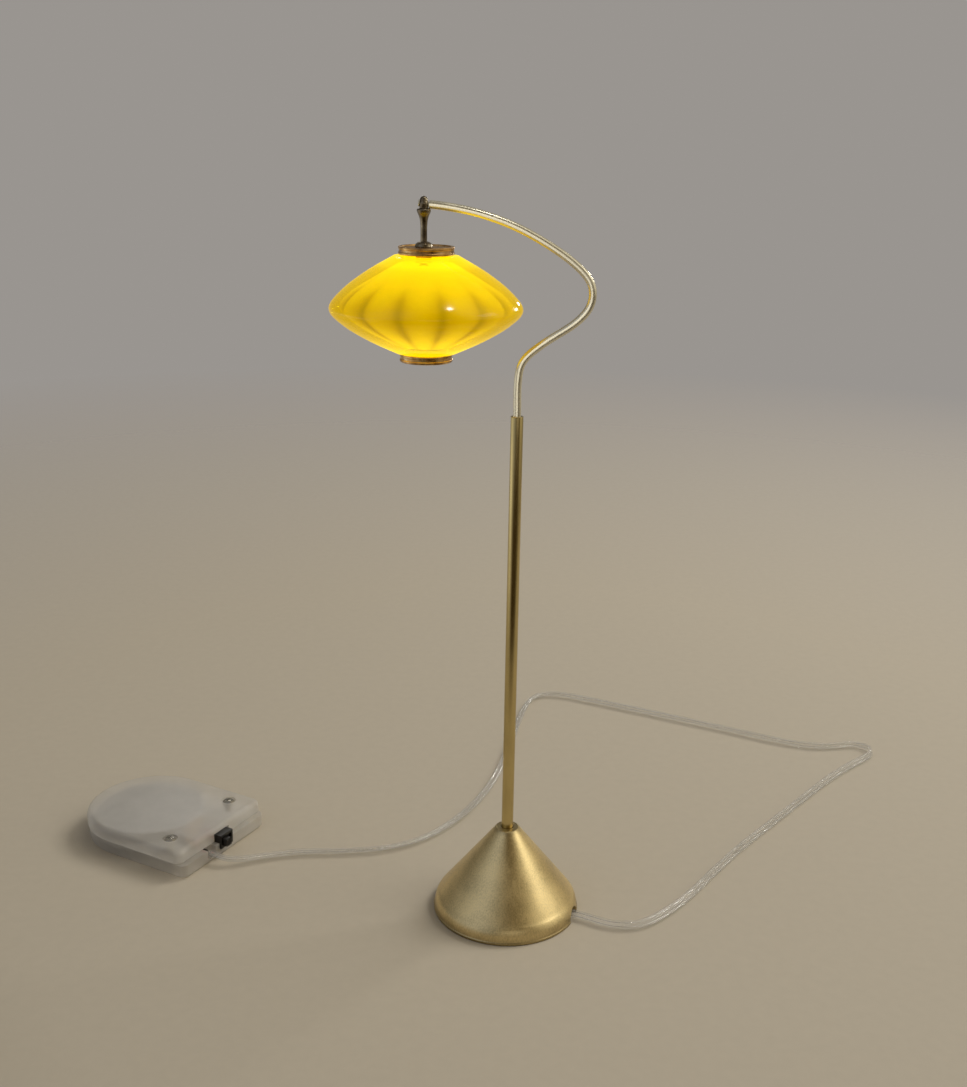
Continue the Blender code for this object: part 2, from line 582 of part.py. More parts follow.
def build_case(shop, frosted, steel, nickel, plastic, copper, red, black):
    case = shop.empty("battery_case", CASE_FRONT, CASE_TURN)
    cell_axis = (CELL_CENTRE, 0.0)
    tray = shop.slab("case_tray", case_outline(0.0, 0.25 * MM), 0.0, TRAY_HEIGHT, frosted, case)
    cover = shop.slab("case_cover", case_outline(COVER_FRONT), COVER_BOTTOM, CASE_HEIGHT, frosted, case)

    def pocket(name, target, low, high):
        cell = shop.cylinder(name + "_cell_cutter", CELL_POCKET, (*cell_axis, low),
                             (*cell_axis, high), parent=case, sides=40)
        bay = shop.box(name + "_bay_cutter", (BAY_START, -BAY_HALF_WIDTH, low),
                       (BAY_END + 1.5 * MM, BAY_HALF_WIDTH, high), parent=case)
        shop.combine(target, cell)
        shop.combine(target, bay)

    pocket("tray", tray, CASE_FLOOR, TRAY_HEIGHT + MM)
    pocket("cover", cover, COVER_BOTTOM - MM, CASE_HEIGHT - CASE_FLOOR)

    seat = SWITCH_CENTRE - SWITCH_SIZE / 2 - Vector((0.15, 0.15, 0.15)) * MM
    well = SWITCH_CENTRE + SWITCH_SIZE / 2 + Vector((0.15, 0.15, 1.5)) * MM
    switch_cut = shop.box("switch_cutter", seat, well, parent=case)
    shop.combine(tray, switch_cut)
    window = shop.box("window_cutter", (0.0, seat.y - 0.25 * MM, COVER_BOTTOM - MM),
                      (2.4 * MM, well.y + 0.25 * MM, CASE_HEIGHT - 0.9 * MM), parent=case)
    shop.combine(cover, window)
    gland = shop.box("gland_cutter", (-MM, LEAD_ENTRY - 1.1 * MM, CASE_FLOOR + 0.05 * MM),
                     (BAY_START + 0.5 * MM, LEAD_ENTRY + 1.1 * MM, TRAY_HEIGHT + 0.1 * MM), parent=case)
    shop.combine(tray, gland)

    for side, name in ((1, "near"), (-1, "far")):
        spot = (SCREW_X, side * SCREW_Y)
        through = shop.cylinder("hole_cutter_" + name, SCREW_SHANK + 0.1 * MM,
                                (*spot, 1.0 * MM), (*spot, CASE_HEIGHT + MM), parent=case, sides=16)
        sink = shop.cylinder("sink_cutter_" + name, SCREW_HEAD + 0.2 * MM,
                             (*spot, 4.6 * MM), (*spot, CASE_HEIGHT + MM), parent=case, sides=20)
        shop.combine(tray, through)
        shop.combine(cover, through)
        shop.combine(cover, sink)
        screw = shop.turned("case_screw_" + name, [
            (0.0, 5.45 * MM), (0.7 * MM, 5.4 * MM), (SCREW_HEAD, 5.15 * MM), (SCREW_HEAD, 4.75 * MM),
            (SCREW_SHANK, 4.75 * MM), (SCREW_SHANK, 1.5 * MM), (0.3 * MM, 1.2 * MM), (0.0, 1.2 * MM),
        ], nickel, closed=False, steps=20, centre=spot, parent=case)
        for turn in (20.0, 110.0):
            slot = shop.box(f"slot_cutter_{name}_{turn:.0f}", (-0.75 * MM, -0.13 * MM, 5.1 * MM),
                            (0.75 * MM, 0.13 * MM, 5.7 * MM), parent=case)
            slot.location = (*spot, 0.0)
            slot.rotation_euler = (0.0, 0.0, math.radians(turn))
            shop.combine(screw, slot)

    top = CELL_BOTTOM + CELL_HEIGHT
    shop.turned("coin_cell", [
        (0.0, top), (CELL_RADIUS - 0.3 * MM, top), (CELL_RADIUS, top - 0.3 * MM),
        (CELL_RADIUS, CELL_BOTTOM + 0.5 * MM), (CELL_RADIUS - 0.4 * MM, CELL_BOTTOM + 0.25 * MM),
        (CELL_RADIUS - 1.2 * MM, CELL_BOTTOM), (0.0, CELL_BOTTOM),
    ], steel, closed=False, steps=40, centre=cell_axis, parent=case)
    shop.box("contact_positive", (7.7 * MM, -2.5 * MM, 1.1 * MM), (7.9 * MM, 2.5 * MM, 4.2 * MM),
             copper, case)
    strip = shop.box("contact_negative", (5.2 * MM, 1.0 * MM, 0.9 * MM), (18.0 * MM, 3.0 * MM, 1.1 * MM),
                     copper, case)
    tab = shop.box("contact_tab_form", (5.0 * MM, 1.0 * MM, 0.9 * MM), (5.25 * MM, 3.0 * MM, 2.4 * MM),
                   parent=case)
    shop.combine(strip, tab, "UNION")

    low = SWITCH_CENTRE - SWITCH_SIZE / 2
    high = SWITCH_CENTRE + SWITCH_SIZE / 2
    body = shop.box("switch_body", low, high, plastic, case)
    reach = SLIDER_SIZE / 2
    swing = SWITCH_TRAVEL / 2 + reach.y + 0.08 * MM
    lift = reach.z + 0.08 * MM
    groove = shop.box("groove_cutter", (-MM, -swing, SWITCH_CENTRE.z - lift),
                      (SLIDER_SIZE.x - SLIDER_REACH + 0.1 * MM, swing, SWITCH_CENTRE.z + lift), parent=case)
    shop.combine(body, groove)
    middle = Vector((reach.x - SLIDER_REACH, SWITCH_TRAVEL / 2, SWITCH_CENTRE.z))
    slider = shop.box("switch_slider", middle - reach, middle + reach, plastic, case)
    soften(slider, 0.1 * MM)

    leads = (
        ("case_wire_pos", red, ((1.6, 4.3, 1.75), (3.0, 4.4, 1.9), (4.2, 3.9, 2.9), (4.0, 2.0, 3.2),
                                (3.2, 0.9, 3.0), (2.5, 0.7, 2.6))),
        ("case_wire_neg", black, ((1.6, 3.75, 1.75), (2.8, 3.5, 1.7), (3.9, 2.8, 1.6), (4.7, 2.0, 1.6))),
        ("switch_wire", red, ((2.5, -0.8, 2.6), (3.6, -1.0, 2.5), (5.4, -1.3, 2.3), (7.4, -1.4, 2.3))),
    )
    for name, colour, route in leads:
        shop.wire(name, smooth_route(millimetres(route), 2), 0.2 * MM, colour, parent=case)


def build_lead(shop, clear):
    route = [point * MM for point in even_route(LEAD_ROUTE, LEAD_STEP / MM)]
    shop.wire("lead_cord", route, LEAD_RADIUS, clear, sides=2)


def build_lamp():
    clear_scene()
    shop = Workshop(new_collection("arc_floor_lamp"), new_collection("cutters"))
    satin_brass = make_material("satin_brass", BRASS, 0.38, 1.0)
    tube_brass = make_material("tube_brass", BRASS, 0.25, 1.0)
    cap_brass = make_material("cap_brass", DARK_BRASS, 0.35, 1.0)
    bronze = make_material("bronze", (0.10, 0.07, 0.04), 0.35, 1.0)
    iron = make_material("iron", (0.20, 0.20, 0.20), 0.6, 1.0)
    felt = make_material("felt", (0.05, 0.05, 0.05), 0.95)
    yellow = make_material("yellow_acrylic", YELLOW, 0.15, alpha=0.6)
    core_yellow = make_material("core_acrylic", YELLOW, 0.4)
    clear = make_material("clear_resin", (0.9, 0.9, 0.88), 0.1, alpha=0.5)
    frosted = make_material("frosted_plastic", FROSTED, 0.4, alpha=0.8)
    tin = make_material("tinned_lead", (0.7, 0.7, 0.7), 0.3, 1.0)
    steel = make_material("cell_steel", (0.6, 0.6, 0.6), 0.3, 1.0)
    copper = make_material("spring_bronze", (0.6, 0.4, 0.2), 0.35, 1.0)
    plastic = make_material("black_plastic", (0.01, 0.01, 0.01), 0.4)
    red = make_material("red_wire", (0.5, 0.02, 0.02), 0.5)
    black = make_material("black_wire", (0.02, 0.02, 0.02), 0.5)

    build_foot(shop, satin_brass, iron, felt)
    build_pole(shop, tube_brass, red, black)
    build_arm(shop, tube_brass, red, black)
    build_shade(shop, cap_brass, bronze, yellow, core_yellow, clear, tin, red, black)
    build_case(shop, frosted, steel, tin, plastic, copper, red, black)
    build_lead(shop, clear)


build_lamp()
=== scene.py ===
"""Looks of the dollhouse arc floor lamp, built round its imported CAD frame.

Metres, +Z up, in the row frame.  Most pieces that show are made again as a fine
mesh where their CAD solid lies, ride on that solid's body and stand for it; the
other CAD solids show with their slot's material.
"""

import json
import math

import bmesh
import bpy
from mathutils import Matrix, Vector


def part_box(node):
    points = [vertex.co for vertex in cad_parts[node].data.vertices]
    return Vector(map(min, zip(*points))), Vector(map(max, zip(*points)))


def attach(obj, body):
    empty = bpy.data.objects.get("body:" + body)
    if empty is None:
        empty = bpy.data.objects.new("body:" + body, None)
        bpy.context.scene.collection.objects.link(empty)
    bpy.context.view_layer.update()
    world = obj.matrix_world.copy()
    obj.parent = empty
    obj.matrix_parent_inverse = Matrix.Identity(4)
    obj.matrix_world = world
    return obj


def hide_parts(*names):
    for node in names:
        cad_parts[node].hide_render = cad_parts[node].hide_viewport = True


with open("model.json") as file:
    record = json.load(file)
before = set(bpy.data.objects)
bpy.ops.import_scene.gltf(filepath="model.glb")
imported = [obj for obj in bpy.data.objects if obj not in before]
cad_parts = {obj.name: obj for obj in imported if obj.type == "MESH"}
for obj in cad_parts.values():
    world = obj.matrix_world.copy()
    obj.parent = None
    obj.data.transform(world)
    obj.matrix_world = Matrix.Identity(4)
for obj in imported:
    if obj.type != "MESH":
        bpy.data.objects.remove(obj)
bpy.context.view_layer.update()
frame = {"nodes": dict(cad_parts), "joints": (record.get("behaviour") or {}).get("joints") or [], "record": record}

MM = 0.001
RECORD = frame["record"]
BODY_OF = {node: body for body, nodes in RECORD["behaviour"]["bodies"].items() for node in nodes}
SLOT_OF = {part["node"]: part["material_slot"] for part in RECORD["subparts"]}
JOINTS = {joint["name"]: joint for joint in frame["joints"]}

# Camera: lens and sensor in mm, angles in degrees.
CAMERA_PLACE = Vector((-4.9, -202.9, 129.7)) * MM
CAMERA_LENS = 43.92
CAMERA_SENSOR = 36.0
CAMERA_PITCH = 17.385
CAMERA_ROLL = 0.964

# Foot: its slant by the depth under its top, its roll by the angle turned.
FOOT_RADIUS = 12.5 * MM
FOOT_HEIGHT = 15.4 * MM
FOOT_SHOULDER = Vector((11.2, 3.4)) * MM
FOOT_CROWN = 1.95 * MM
FOOT_WALL = 0.7 * MM
FOOT_LIP = 0.5 * MM
FOOT_HOLE = 1.06 * MM
FOOT_ROOF = 1.6 * MM
FOOT_SLANT = (1.5 * MM, 5.0 * MM, 9.0 * MM)
FOOT_ROLL = [math.radians(28.0 + 7.25 * step) for step in range(9)]
FOOT_ROLL_ZERO = math.radians(20.0)
NOTCH_ANGLE = math.radians(-18.0)
NOTCH_RADIUS = 2.0 * MM
NOTCH_REACH = (9.6 * MM, 14.0 * MM)

# Pole and arm; the arm's route is (x, z) in mm.
POLE_RADIUS = 1.0 * MM
POLE_BORE = 0.68 * MM
POLE_EDGE = 0.06 * MM
ARM_RADIUS = 0.625 * MM
ARM_BORE = 0.42 * MM
ARM_ROUTE = (
    (0.0, 79.2), (0.0, 88.0), (0.0, 92.6), (0.8, 95.8), (4.2, 98.7),
    (8.6, 101.6), (10.8, 104.4), (10.7, 107.6), (8.2, 110.4), (3.9, 113.3),
    (-1.2, 115.9), (-6.5, 117.65), (-11.0, 118.5), (-13.8, 118.8),
)

# Hanger, whose eye turns on the arm's tip pin; its neck is (radius, height) in mm.
PIVOT = Vector(JOINTS["shade_sway"]["pos_m"])
PIVOT_AXIS = -Vector(JOINTS["shade_sway"]["axis"])
EYE_RADIUS = 0.72 * MM
EYE_BORE = 0.44 * MM
EYE_OFFSET = 0.8 * MM
EYE_REACH = 1.5 * MM
FINIAL_RADIUS = 0.6 * MM
STEM_RADIUS = 0.5 * MM
STEM_BORE = 0.32 * MM
PIN_RADIUS = 0.36 * MM
PIN_BORE = 0.18 * MM
PIN_HEAD = 0.5 * MM
PIN_HEAD_HEIGHT = 0.22 * MM
PIN_GRIP = 0.62 * MM
PIN_ROOT = -1.4 * MM
NECK_CURVE = ((0.66, -0.60), (0.96, -0.76), (1.08, -0.93), (0.98, -1.3), (0.75, -1.8),
              (0.58, -2.5), (0.5, -3.4))
SLEEVE = 0.56 * MM

# Shade; its curves are (radius, height) in mm.
SHADE_HOLE = 3.4 * MM
SHADE_WALL = 0.7 * MM
SHADE_CURVE = ((5.0, 111.3), (9.2, 108.85), (12.8, 106.1), (14.75, 103.45),
               (12.9, 101.2), (9.2, 98.9), (4.8, 96.8))
CORE_CURVE = ((4.2, 110.2), (8.0, 108.0), (11.6, 105.7), (13.2, 103.5),
              (11.6, 101.7), (8.0, 99.6), (4.2, 97.8))
CORE_WALL = 0.5 * MM
RIB_COUNT = 12
RIB_DEPTH = 0.9 * MM
RIB_PHASE = math.radians(13.5)
LED_RADIUS = 1.5 * MM
LED_FLANGE = 1.9 * MM

# The caps: a lip round a shallow dish, and two beads with a waist between them.
CAP_DISH = 0.2 * MM
CAP_LIP_TOP = 0.42 * MM
CAP_LIP_BOTTOM = 0.5 * MM
CAP_BEAD = 0.34 * MM
CAP_BEAD_END = 0.42 * MM
CAP_WAIST = 0.09 * MM

# Battery case, in its own frame: +X runs from the switch end to the round end.
CASE_FRAME = (Matrix.Translation((-51.7 * MM, 15.85 * MM, 0.0))
              @ Matrix.Rotation(math.radians(151.6), 4, "Z"))
CASE_HALF_WIDTH = 11.9 * MM
CASE_EASE = 1.4 * MM
CELL_CENTRE = 18.2 * MM
TRAY_INSET = 0.25 * MM
TRAY_HEIGHT = 2.7 * MM
COVER_FRONT = 1.2 * MM
COVER_BOTTOM = 2.9 * MM
CASE_HEIGHT = 5.3 * MM
CASE_FLOOR = 0.8 * MM
TRAY_EDGE = 0.8 * MM
SEAM_EDGE = 0.12 * MM
COVER_EDGE = 0.95 * MM
CELL_RADIUS = 10.0 * MM
CELL_BOTTOM = 1.25 * MM
CELL_TOP = 4.35 * MM
CELL_POCKET = 10.3 * MM
BAY = ((2.4 * MM, -5.8 * MM), (10.1 * MM, 5.8 * MM))
SCREW_X = 6.2 * MM
SCREW_Y = 8.3 * MM
SCREW_SHANK = 0.7 * MM
SCREW_HEAD = 1.15 * MM
SCREW_HOLE = (SCREW_SHANK + 0.1 * MM, 1.0 * MM, CASE_HEIGHT + MM)
SCREW_SINK = (SCREW_HEAD + 0.2 * MM, 4.6 * MM, CASE_HEIGHT + MM)
SCREW_TOP = 5.45 * MM
SCREW_COLLAR = 4.75 * MM
SCREW_TIP = 1.2 * MM
SCREW_SLOT_LOW = Vector((-0.75, -0.14, 4.95)) * MM
SCREW_SLOT_HIGH = Vector((0.75, 0.14, 5.7)) * MM
SCREW_TURNS = (20.0, 110.0)
SWITCH_LOW = Vector((-0.05, -1.7, 1.45)) * MM
SWITCH_HIGH = Vector((1.85, 1.7, 4.15)) * MM
SWITCH_WELL = (SWITCH_LOW - Vector((0.15, 0.15, 0.15)) * MM,
               SWITCH_HIGH + Vector((0.15, 0.15, 2.0)) * MM)
SLIDER_LOW = Vector((-1.1, -0.05, 2.05)) * MM
SLIDER_HIGH = Vector((0.5, 1.25, 3.55)) * MM
SLIDER_SWING = 1.33 * MM
SLIDER_RIB_PITCH = 0.38 * MM
LEAD_ENTRY = 4.0 * MM
LEAD_GLAND = 1.1 * MM

# Carried CAD solids: the angle, in degrees, from which an edge counts as sharp.
CARRIED_SHARP = 40.0

# The clear twin lead.  Its route, in mm, is the middle between its two cores.  Its lean,
# in degrees, rises from a place over a run, and falls off over a run before a place.
LEAD_WIDTH = 1.6 * MM
STRAND_RADIUS = 0.06 * MM
LEAN_RISE = (12.0 * MM, 20.0 * MM)
LEAN_FALL = (205.0 * MM, 30.0 * MM)
LEAN_LEAST = 12.0
LEAN_SWING = 52.0
LEAN_RIPPLE = 0.12
LEAN_RIPPLE_RUN = 8.0 * MM
LEAD_LEVEL = 0.85
LEAD_ON_FLOOR = (
    (8.5, -2.8), (11.9, -3.9), (14.6, -5.2), (18.4, -6.9), (23.0, -6.6), (27.6, -3.0),
    (32.7, 2.8), (38.5, 11.0), (45.0, 19.8), (52.4, 28.8), (60.3, 38.4), (68.6, 48.3),
    (75.4, 55.2), (79.8, 59.2), (80.7, 62.6), (78.0, 64.6), (74.0, 63.9), (69.4, 63.4),
    (64.0, 64.8), (57.6, 67.8), (49.5, 72.1), (40.9, 76.4), (30.9, 81.4), (20.9, 86.2),
    (13.4, 89.2), (8.6, 88.2), (6.0, 83.6), (3.6, 73.0), (1.4, 61.0), (-0.6, 50.3),
    (-2.8, 42.4), (-5.2, 36.0), (-8.0, 30.4), (-11.1, 25.7), (-14.7, 21.6), (-19.5, 18.2),
    (-25.3, 16.3), (-32.5, 15.5), (-39.0, 14.9),
)
LEAD_INTO_CASE = (
    (-44.3, 13.3, 0.95), (-48.2, 11.6, 1.2), (-51.0, 11.1, 1.55),
    (-53.0, 11.9, 1.75), (-54.4, 12.7, 1.75),
)

# Linear RGB.
BRASS = (0.80, 0.64, 0.33)
POLE_BRASS = (0.62, 0.49, 0.22)
PALE_BRASS = (0.82, 0.77, 0.60)
FAINT_GLOW = (1.0, 0.60, 0.0)
FULL_GLOW = (1.0, 0.75, 0.0)
FLOOR_COLOUR = (0.57, 0.51, 0.41)
BACKDROP = (0.32, 0.30, 0.28)
CEILING = (0.18, 0.17, 0.16)
DARK_ROOM = (0.08, 0.052, 0.012)
DARK_TABLE = (0.045, 0.03, 0.012)
WALL_BEHIND = (0.30, 0.285, 0.27)

# Plain materials: colour, roughness, grain size and depth in mm, and last the grain's
# stretch along x, y and z for a metal, or its contrast for a plastic.
EVEN = (1.0, 1.0, 1.0)
PLAIN_METALS = {
    "iron": ((0.20, 0.20, 0.20), 0.6, 0.5, 0.05, EVEN),
    "tinned_steel": ((0.72, 0.72, 0.70), 0.28, 0.1, 0.003, EVEN),
    "nickel": ((0.78, 0.75, 0.68), 0.16, 0.15, 0.004, EVEN),
    "cell_steel": ((0.60, 0.60, 0.61), 0.28, 0.25, 0.0005, (8.0, 1.0, 1.0)),
    "spring_bronze": ((0.78, 0.56, 0.30), 0.25, 0.1, 0.002, EVEN),
    "strand": ((0.80, 0.80, 0.78), 0.25, 0.06, 0.01, EVEN),
}
PLAIN_PLASTICS = {
    "black_plastic": ((0.012, 0.011, 0.010), 0.35, 0.08, 0.004, 0.6),
    "red_wire": ((0.55, 0.03, 0.03), 0.35, 0.3, 0.005, 0.85),
    "black_wire": ((0.02, 0.02, 0.02), 0.35, 0.3, 0.005, 0.85),
}

# The floor, and its fade into the backdrop by distance from a centre and by depth, in metres.
FLOOR_RADIUS = 1.5
FLOOR_DROP = 0.05 * MM
FADE_CENTRE = 0.05
FADE_REACH = (0.12, 0.50)
FADE_FRONT = (-0.15, -0.06)

# What the metal reflects at two heights, by azimuth: 0 is the viewer, 90 the lamp's right.
LOW_ROOM = (
    (-180, WALL_BEHIND), (-128, (0.40, 0.40, 0.40)), (-104, (1.0, 1.0, 1.0)),
    (-76, (1.0, 1.0, 0.97)), (-56, (0.40, 0.38, 0.34)), (-38, (0.19, 0.16, 0.11)),
    (-24, DARK_TABLE), (34, DARK_TABLE), (58, (0.12, 0.10, 0.06)), (100, (0.20, 0.17, 0.12)),
    (135, WALL_BEHIND), (180, WALL_BEHIND),
)
HIGH_ROOM = (
    (-180, (0.22, 0.21, 0.19)), (-120, (0.16, 0.145, 0.12)), (-92, (0.24, 0.24, 0.24)),
    (-68, (0.42, 0.44, 0.49)), (-46, (0.50, 0.52, 0.59)), (-28, (0.37, 0.38, 0.41)),
    (-12, (0.23, 0.21, 0.17)), (3, DARK_ROOM), (20, DARK_ROOM), (48, (0.24, 0.20, 0.13)),
    (68, (0.84, 0.78, 0.64)), (95, (0.84, 0.78, 0.64)), (122, (0.34, 0.29, 0.20)),
    (155, (0.20, 0.18, 0.15)), (180, (0.22, 0.21, 0.19)),
)
LOW_TO_HIGH = (-0.15, 0.08)
HIGH_TO_CEILING = (0.86, 0.97)

# Lights: name, azimuth and elevation in degrees, metres from the aim, width and height,
# watts, and whether the shading, the gloss or both take them in.
LIGHT_AIM = Vector((0.0, 0.02, 0.05))
LIGHT_COLOUR = (1.0, 0.97, 0.92)
LIGHTS = (
    ("ceiling_right", 122.0, 45.0, 0.90, (0.36, 0.36), 3.9, "shading"),
    ("window_right", 86.0, 34.0, 0.80, (0.32, 0.26), 0.42, "both"),
    ("front_panel", 12.0, 12.0, 0.90, (0.54, 0.30), 0.24, "gloss"),
    ("spark_case", -165.0, 29.5, 0.90, (0.07, 0.07), 0.12, "gloss"),
    ("spark_ceiling", 62.0, 72.0, 0.90, (0.05, 0.05), 0.8, "gloss"),
    ("spark_behind", 141.0, 16.0, 0.90, (0.10, 0.10), 0.8, "gloss"),
    ("spark_edge", 160.0, 10.5, 0.90, (0.04, 0.04), 0.2, "gloss"),
    ("arm_panel", -10.0, 16.0, 0.125, (0.08, 0.15), 0.043, "gloss"),
)


# ---- materials

class Nodes:
    """Short calls for writing a node tree."""

    def __init__(self, tree):
        self.tree = tree

    def node(self, kind, **settings):
        made = self.tree.nodes.new(kind)
        for key, value in settings.items():
            setattr(made, key, value)
        return made

    def feed(self, value, socket):
        """Link an output, or set a plain number, into a socket."""
        if isinstance(value, bpy.types.NodeSocket):
            self.tree.links.new(value, socket)
        else:
            socket.default_value = value

    def math(self, a, b, operation="ADD"):
        made = self.node("ShaderNodeMath", operation=operation)
        self.feed(a, made.inputs[0])
        self.feed(b, made.inputs[1])
        return made.outputs[0]

    def axes(self, vector):
        made = self.node("ShaderNodeSeparateXYZ")
        self.feed(vector, made.inputs[0])
        return made.outputs["X"], made.outputs["Y"], made.outputs["Z"]

    def spread(self, value, low, high, start=0.3, end=0.7):
        """Stretch start..end of a value over low..high."""
        made = self.node("ShaderNodeMapRange")
        limits = (("From Min", start), ("From Max", end), ("To Min", low), ("To Max", high))
        for label, number in limits:
            made.inputs[label].default_value = number
        self.feed(value, made.inputs["Value"])
        return made.outputs["Result"]

    def blend(self, a, b, factor, blend_type="MIX"):
        """Two colours, each an output or an RGB triple, blended by a factor."""
        made = self.node("ShaderNodeMix", data_type="RGBA", blend_type=blend_type)
        self.feed(factor, made.inputs["Factor"])
        for colour, socket in ((a, made.inputs[6]), (b, made.inputs[7])):
            self.feed((*colour, 1.0) if isinstance(colour, tuple) else colour, socket)
        return made.outputs[2]

    def mixed(self, first, second, share):
        """Two shaders, with this share of the second."""
        made = self.node("ShaderNodeMixShader")
        for value, socket in zip((share, first, second), made.inputs):
            self.feed(value, socket)
        return made.outputs[0]

    def ramp(self, value, *stops, smooth=False):
        """Colours, or greys given as numbers, along a value, as (place, colour) pairs."""
        made = self.node("ShaderNodeValToRGB")
        if smooth:
            made.color_ramp.interpolation = "B_SPLINE"
        elements = made.color_ramp.elements
        while len(elements) < len(stops):
            elements.new(0.5)
        for element, (place, colour) in zip(elements, stops):
            channels = colour if isinstance(colour, tuple) else (colour, colour, colour)
            element.position = place
            element.color = (*channels, 1.0)
        self.feed(value, made.inputs["Fac"])
        return made.outputs["Color"]


class Paint(Nodes):
    """A Principled material, with short calls for its procedural inputs."""

    def __init__(self, name, **sockets):
        self.material = bpy.data.materials.new(name)
        self.material.use_nodes = True
        super().__init__(self.material.node_tree)
        self.shader = self.tree.nodes["Principled BSDF"]
        for label, value in sockets.items():
            self.shader.inputs[label.replace("_", " ")].default_value = value
        self.place = self.node("ShaderNodeTexCoord").outputs["Object"]

    def noise(self, size, stretch=EVEN, detail=4.0, offset=0.0):
        """Noise from 0 to 1 with blobs of about this size, in metres."""
        mapping = self.node("ShaderNodeMapping")
        mapping.inputs["Scale"].default_value = [1.0 / factor for factor in stretch]
        mapping.inputs["Location"].default_value = (offset, offset, offset)
        self.feed(self.place, mapping.inputs["Vector"])
        made = self.node("ShaderNodeTexNoise")
        made.inputs["Scale"].default_value = 1.0 / size
        made.inputs["Detail"].default_value = detail
        self.feed(mapping.outputs["Vector"], made.inputs["Vector"])
        return made.outputs[0]

    def bands(self, period):
        """Level ridges from 0 to 1, this far apart."""
        made = self.node("ShaderNodeTexWave", bands_direction="Z")
        made.inputs["Scale"].default_value = math.pi / 10.0 / period
        made.inputs["Distortion"].default_value = 0.6
        made.inputs["Detail Scale"].default_value = 3.0
        self.feed(self.place, made.inputs["Vector"])
        return made.outputs[1]

    def level(self, node):
        """Height over a CAD node's box, from 0 to 1."""
        low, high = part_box(node)
        return self.spread(self.axes(self.place)[2], 0.0, 1.0, low.z, high.z)

    def clear(self, tint, opaque):
        """Let this tint of what is behind through, but for the opaque share."""
        clear = self.node("ShaderNodeBsdfTransparent")
        clear.inputs["Color"].default_value = (*tint, 1.0)
        both = self.mixed(clear.outputs[0], self.shader.outputs[0], opaque)
        self.feed(both, self.tree.nodes["Material Output"].inputs["Surface"])

    def colour(self, value):
        self.feed(value, self.shader.inputs["Base Color"])

    def tone(self, value, dark, light):
        """The colour, from dark where a noise is low to light where it is high."""
        self.colour(self.ramp(value, (0.3, dark), (0.7, light)))

    def roughness(self, value):
        self.feed(value, self.shader.inputs["Roughness"])

    def glow(self, strength):
        """Yellow light of this strength, more orange where it is faint."""
        hue = self.ramp(strength, (0.35, FAINT_GLOW), (0.8, FULL_GLOW))
        self.feed(hue, self.shader.inputs["Emission Color"])
        self.feed(strength, self.shader.inputs["Emission Strength"])

    def relief(self, *layers):
        """Bump from (height from 0 to 1, depth in metres) pairs."""
        below = None
        for height, depth in layers:
            made = self.node("ShaderNodeBump")
            made.inputs["Distance"].default_value = depth
            self.feed(height, made.inputs["Height"])
            if below is not None:
                self.feed(below, made.inputs["Normal"])
            below = made.outputs["Normal"]
        self.feed(below, self.shader.inputs["Normal"])


def shaded(colour, factor):
    return tuple(channel * factor for channel in colour)


def satin_brass():
    """Spun brass: a sparkling grain down its slope, faint lathe rings, and painted shade on the bottom rim and the
    crown.
    """
    paint = Paint("satin_brass", Metallic=1.0)
    grain = paint.noise(0.20 * MM, (1.0, 1.0, 2.5), 4.0)
    cloud = paint.noise(5.0 * MM, detail=5.0)
    mottle = paint.math(paint.spread(grain, -0.22, 0.22), cloud)
    brass = paint.ramp(mottle, (0.25, shaded(BRASS, 0.78)), (0.55, BRASS),
                       (0.8, shaded(BRASS, 1.14)))
    # Painted shade: the brass darkens towards its bottom rim and again at its crown.
    rim_painted_shade = paint.ramp(paint.level("base_cone"), (0.0, 0.50), (0.07, 0.78), (0.2, 1.0), (0.95, 1.0),
                      (1.0, 0.62))
    paint.colour(paint.blend(brass, rim_painted_shade, 1.0, "MULTIPLY"))
    paint.roughness(paint.spread(paint.math(cloud, grain, "MULTIPLY"), 0.27, 0.40, 0.1, 0.4))
    paint.relief((grain, 0.016 * MM), (paint.bands(0.14 * MM), 0.0008 * MM))
    return paint.material


def tube_brass(name, tint, rough, tarnish, metallic, grain_stretch):
    """Drawn brass tube: a fine grain, stretched along Z, and a thin uneven tarnish."""
    paint = Paint(name, Metallic=metallic)
    drawn = paint.noise(0.12 * MM, (1.0, 1.0, grain_stretch), 3.0)
    cloud = paint.noise(3.0 * MM, (1.0, 1.0, 2.5), 5.0)
    paint.colour(paint.ramp(cloud, (0.3, shaded(tint, 1.0 - tarnish)), (0.6, tint),
                            (0.85, shaded(tint, 1.06))))
    wear = paint.math(cloud, drawn, "MULTIPLY")
    paint.roughness(paint.spread(wear, rough * 0.8, rough * 1.3, 0.1, 0.4))
    paint.relief((drawn, 0.0004 * MM))
    return paint.material


def cap_brass():
    """Aged red brass with worn lighter patches and blotches of dark stain."""
    paint = Paint("cap_brass", Metallic=1.0)
    stain = paint.noise(1.5 * MM, (1.0, 1.0, 0.5), 6.0)
    paint.colour(paint.ramp(stain, (0.30, (0.20, 0.10, 0.035)), (0.46, (0.52, 0.30, 0.11)),
                            (0.60, (0.70, 0.45, 0.18)), (0.78, (0.86, 0.68, 0.40))))
    paint.roughness(paint.spread(paint.noise(0.5 * MM, offset=3.0), 0.24, 0.42))
    paint.relief((stain, 0.012 * MM), (paint.noise(0.12 * MM), 0.004 * MM))
    return paint.material


def bronze():
    """Dark, slightly glossy bronze with rubbed spots."""
    paint = Paint("bronze", Metallic=1.0)
    rub = paint.noise(0.7 * MM, (1.0, 1.0, 2.0), 5.0)
    paint.colour(paint.ramp(rub, (0.35, (0.13, 0.10, 0.065)), (0.6, (0.30, 0.25, 0.17)),
                            (0.8, (0.52, 0.45, 0.32))))
    paint.roughness(paint.spread(rub, 0.22, 0.36))
    paint.relief((paint.noise(0.25 * MM), 0.006 * MM))
    return paint.material


